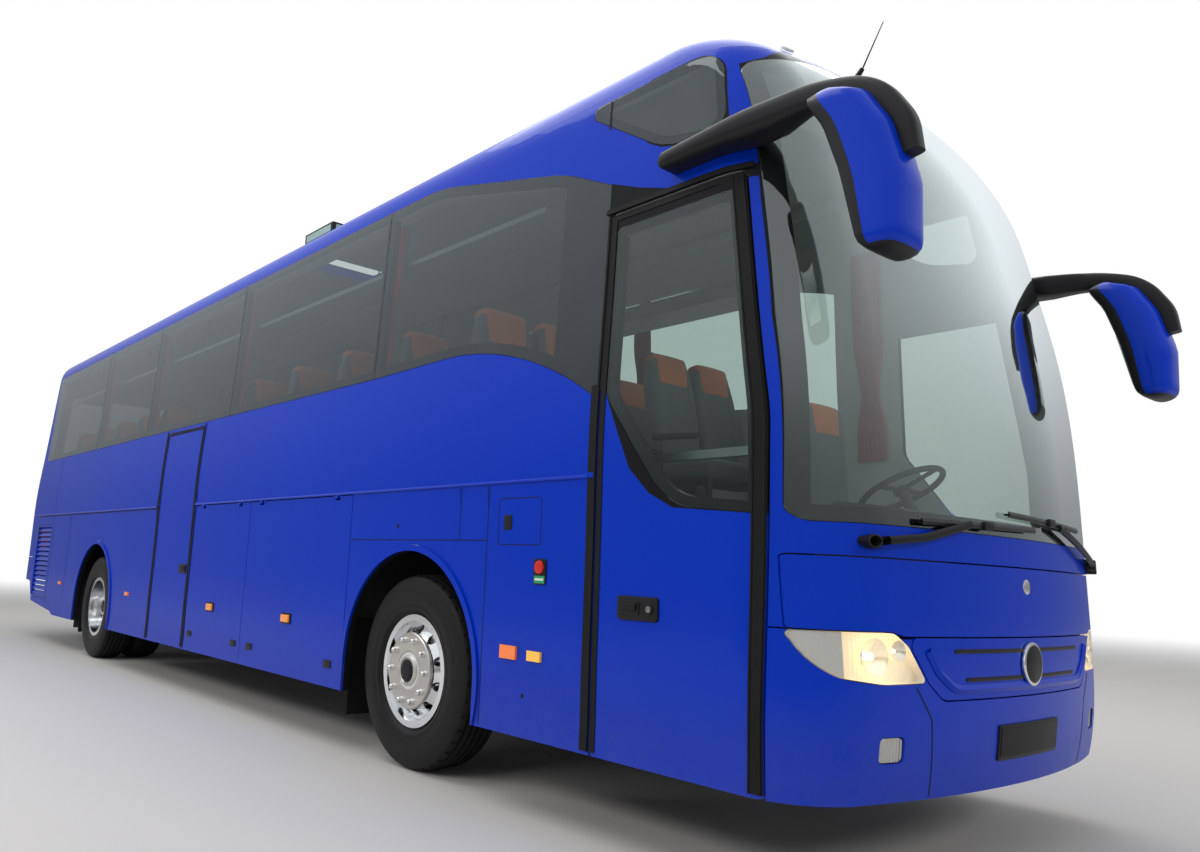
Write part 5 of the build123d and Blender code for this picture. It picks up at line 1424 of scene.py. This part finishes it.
def driverSeat():
    spot = placed(driver["middle"], driver["station"], driver["floor"])
    bm = pad(0.44, 0.43, 0.12, 0.022, 0.05)
    bmesh.ops.translate(bm, vec=spot + Vector((0, 0.215, 0.45)), verts=bm.verts)
    back = pad(0.43, 0.74, 0.095, 0.02, 0.06, 6)
    lean = Matrix.Translation(spot + Vector((0, 0.39, 0.80))) @ Matrix.Rotation(math.radians(87), 4, "X")
    stamp(bm, keepMesh("driverBack", back), lean)
    padded("driver_seat", bm, seatCloth)
    bm = pad(0.30, 0.22, 0.11, 0.012, 0.05, 4)
    bmesh.ops.transform(bm, matrix=lean @ Matrix.Translation((0, 0.26, 0)), verts=bm.verts)
    padded("driver_head_cover", bm, orangeCloth)
    bm = bmesh.new()
    low, middle, high = (spot + Vector((0, 0.2, height)) for height in (0.001, 0.06, 0.39))
    bar(bm, low, middle, 0.17, 0.16, 24)
    bar(bm, middle, high, 0.10, 0.13, 24)
    settle("driver_seat_base", bm, darkPlastic, "dark_plastic")


# Curtains gathered at the window pillars
curtain = {
    "stations": (3.34, 5.62, 7.68, 9.41),
    "width": 0.17,
    "low": 2.30,
    "high": 3.24,
    "folds": 7,
    "depth": 0.011,
    "waistHeight": 2.62,
    "waist": 0.62,
    "fromSkin": 0.062,
    "driver": (1.40, 1.86, 3.20, 0.2, 2.3),  # station, low, high, width, waist height
}


def wallAt(z):  # the wall's inner side
    for (low, lowWidth), (high, highWidth) in zip(hullWidths, hullWidths[1:]):
        if z <= high:
            return lowWidth + (highWidth - lowWidth) * (z - low) / (high - low) - curtain["fromSkin"]
    return 1.1


def gathered(name, side, station, low, high, width, waistHeight):
    bm = bmesh.new()
    folds, depth = curtain["folds"], curtain["depth"]
    columns, rows = folds * 8, 16
    made = bmesh.ops.create_grid(bm, x_segments=columns, y_segments=rows, size=0.5)["verts"]
    for v in made:
        share, z = v.co.x, low + (v.co.y + 0.5) * (high - low)
        near = math.exp(-((z - waistHeight) / 0.16) ** 2)
        squeeze = 1 - (1 - curtain["waist"]) * near
        wave = math.sin(share * 2 * math.pi * folds + 0.5 * math.sin(z * 5)) * depth * (1 + 0.25 * near)
        ripple = 0.002 * math.sin(z * 23 + share * 9)
        v.co = Vector((side * (wallAt(z) + wave), at(station) + share * width * squeeze + ripple, z))
    area = sum(f.calc_area() for f in bm.faces)
    outwards(bm)
    made = settle(name, bm, curtainCloth, "curtain_cloth", sharp=80)
    return made


def curtains():
    low, high, width, waistHeight = (curtain[key] for key in ("low", "high", "width", "waistHeight"))
    hung = [
        gathered(f"curtain_{word}_{i + 1}", side, station, low, high, width, waistHeight)
        for side, word in sides for i, station in enumerate(curtain["stations"])
    ]
    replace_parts(hung[0], "curtains")
    gathered("curtain_driver", 1, *curtain["driver"])


for make in (doorSeals, mouldings, sideDetails, doorHandles, flapTrim, wheels, headlamps, noseDetails,
             roofDetails, rearDetails, wheelHousings, wipers, mirrors, seats, driverSeat, curtains):
    make()
    print("made", make.__name__)


# Stage, lights and camera
stage = {
    "floorColour": (0.60, 0.58, 0.55),
    "floorSize": 90.0,
    "fadeStart": 11.0,
    "fadeEnd": 30.0,
    "backgroundLevel": 1.0,
    "skyLevel": 0.42,
    "glossLevel": 0.95,
    "horizonLevel": 0.25,
}


def makeStage():
    bm = bmesh.new()
    bmesh.ops.create_grid(bm, x_segments=1, y_segments=1, size=stage["floorSize"] / 2)
    mesh = keepMesh("floor", bm)
    floor = bpy.data.objects.new("floor", mesh)
    bpy.context.scene.collection.objects.link(floor)
    f = Finish("floorPale")
    base = f.mix(f.noise(0.6, 3.0) * 0.5, stage["floorColour"], tuple(c * 0.97 for c in stage["floorColour"]))
    far = f.ease(f.maths("SQRT", f.x * f.x + f.y * f.y), stage["fadeStart"], stage["fadeEnd"])
    haze = f.node("ShaderNodeEmission", None, {"Color": (1, 1, 1)})
    ground = f.principled(baseColor=base, roughness=0.7)
    mesh.materials.append(f.end(f.mixShaders(far * f.ray("Camera"), ground, haze)))

    world = bpy.data.worlds.new("studio")
    bpy.context.scene.world = world
    sky = Shader(world)
    sight = sky.node("ShaderNodeBackground", None, {"Color": (1, 1, 1), "Strength": stage["backgroundLevel"]})
    incoming = sky.split(sky.node("ShaderNodeNewGeometry", out="Incoming"))
    base = stage["skyLevel"]
    above = sky.mapped(
        value=incoming[2], fromMin=0.0, fromMax=-0.5,
        toMin=stage["horizonLevel"] - base, toMax=stage["glossLevel"] - base,
    )
    glow = {"Color": (0.93, 0.96, 1.0), "Strength": sky.ray("Glossy") * above + base}
    light = sky.node("ShaderNodeBackground", None, glow)
    seen = sky.larger(sky.ray("Camera"), sky.ray("Transmission"))
    sky.end(sky.mixShaders(seen, light, sight), "ShaderNodeOutputWorld")


softLights = {  # place, aim, size, power
    "skyPanel": ((0.0, 0.0, 11.0), (0.0, 0.0, 1.5), (16.0, 9.0), 1100.0),
    "doorSide": ((-13.0, -2.0, 8.0), (-1.2, -1.0, 1.4), (14.0, 3.0), 700.0),
    "frontSide": ((2.0, -17.0, 7.5), (0.0, -6.0, 1.4), (9.0, 3.0), 550.0),
}


def makeLights():
    for name, (place, aim, size, power) in softLights.items():
        data = bpy.data.lights.new(name, "AREA")
        data.shape = "RECTANGLE"
        data.size, data.size_y = size
        data.energy = power
        lamp = bpy.data.objects.new(name, data)
        lamp.location = place
        lamp.rotation_euler = (Vector(aim) - Vector(place)).to_track_quat("-Z", "Y").to_euler()
        lamp.visible_glossy = name == "skyPanel"
        bpy.context.scene.collection.objects.link(lamp)


view = {  # the photograph's camera
    "across": -4.106,
    "station": -1.642,
    "height": 1.084,
    "yaw": 39.17,
    "pitch": 9.15,
    "roll": 2.64,
    "focalPixels": 925.6,
    "middlePixel": (521.5, 422.5),
    "photoSize": (1200, 852),
}


def makeCamera():
    width, height = view["photoSize"]
    data = bpy.data.cameras.new("photoCamera")
    data.sensor_width = 36.0
    data.lens = view["focalPixels"] * data.sensor_width / width
    data.shift_x = (width / 2 - view["middlePixel"][0]) / width
    data.shift_y = (view["middlePixel"][1] - height / 2) / width
    data.clip_end = 200
    yaw, pitch, roll = (math.radians(view[k]) for k in ("yaw", "pitch", "roll"))
    ahead = Vector((math.sin(yaw) * math.cos(pitch), math.cos(yaw) * math.cos(pitch), math.sin(pitch)))
    side = Vector((math.cos(yaw), -math.sin(yaw), 0))
    up = side.cross(ahead)
    turnedSide = side * math.cos(roll) + up * math.sin(roll)
    turnedUp = up * math.cos(roll) - side * math.sin(roll)
    camera = bpy.data.objects.new("photoCamera", data)
    axes = Matrix((turnedSide, turnedUp, -ahead)).transposed().to_4x4()
    camera.matrix_world = Matrix.Translation((view["across"], at(view["station"]), view["height"])) @ axes
    bpy.context.scene.collection.objects.link(camera)
    bpy.context.scene.camera = camera


makeStage()
makeLights()
makeCamera()
bpy.context.scene.view_settings.view_transform = "Standard"
print("stage and camera set")
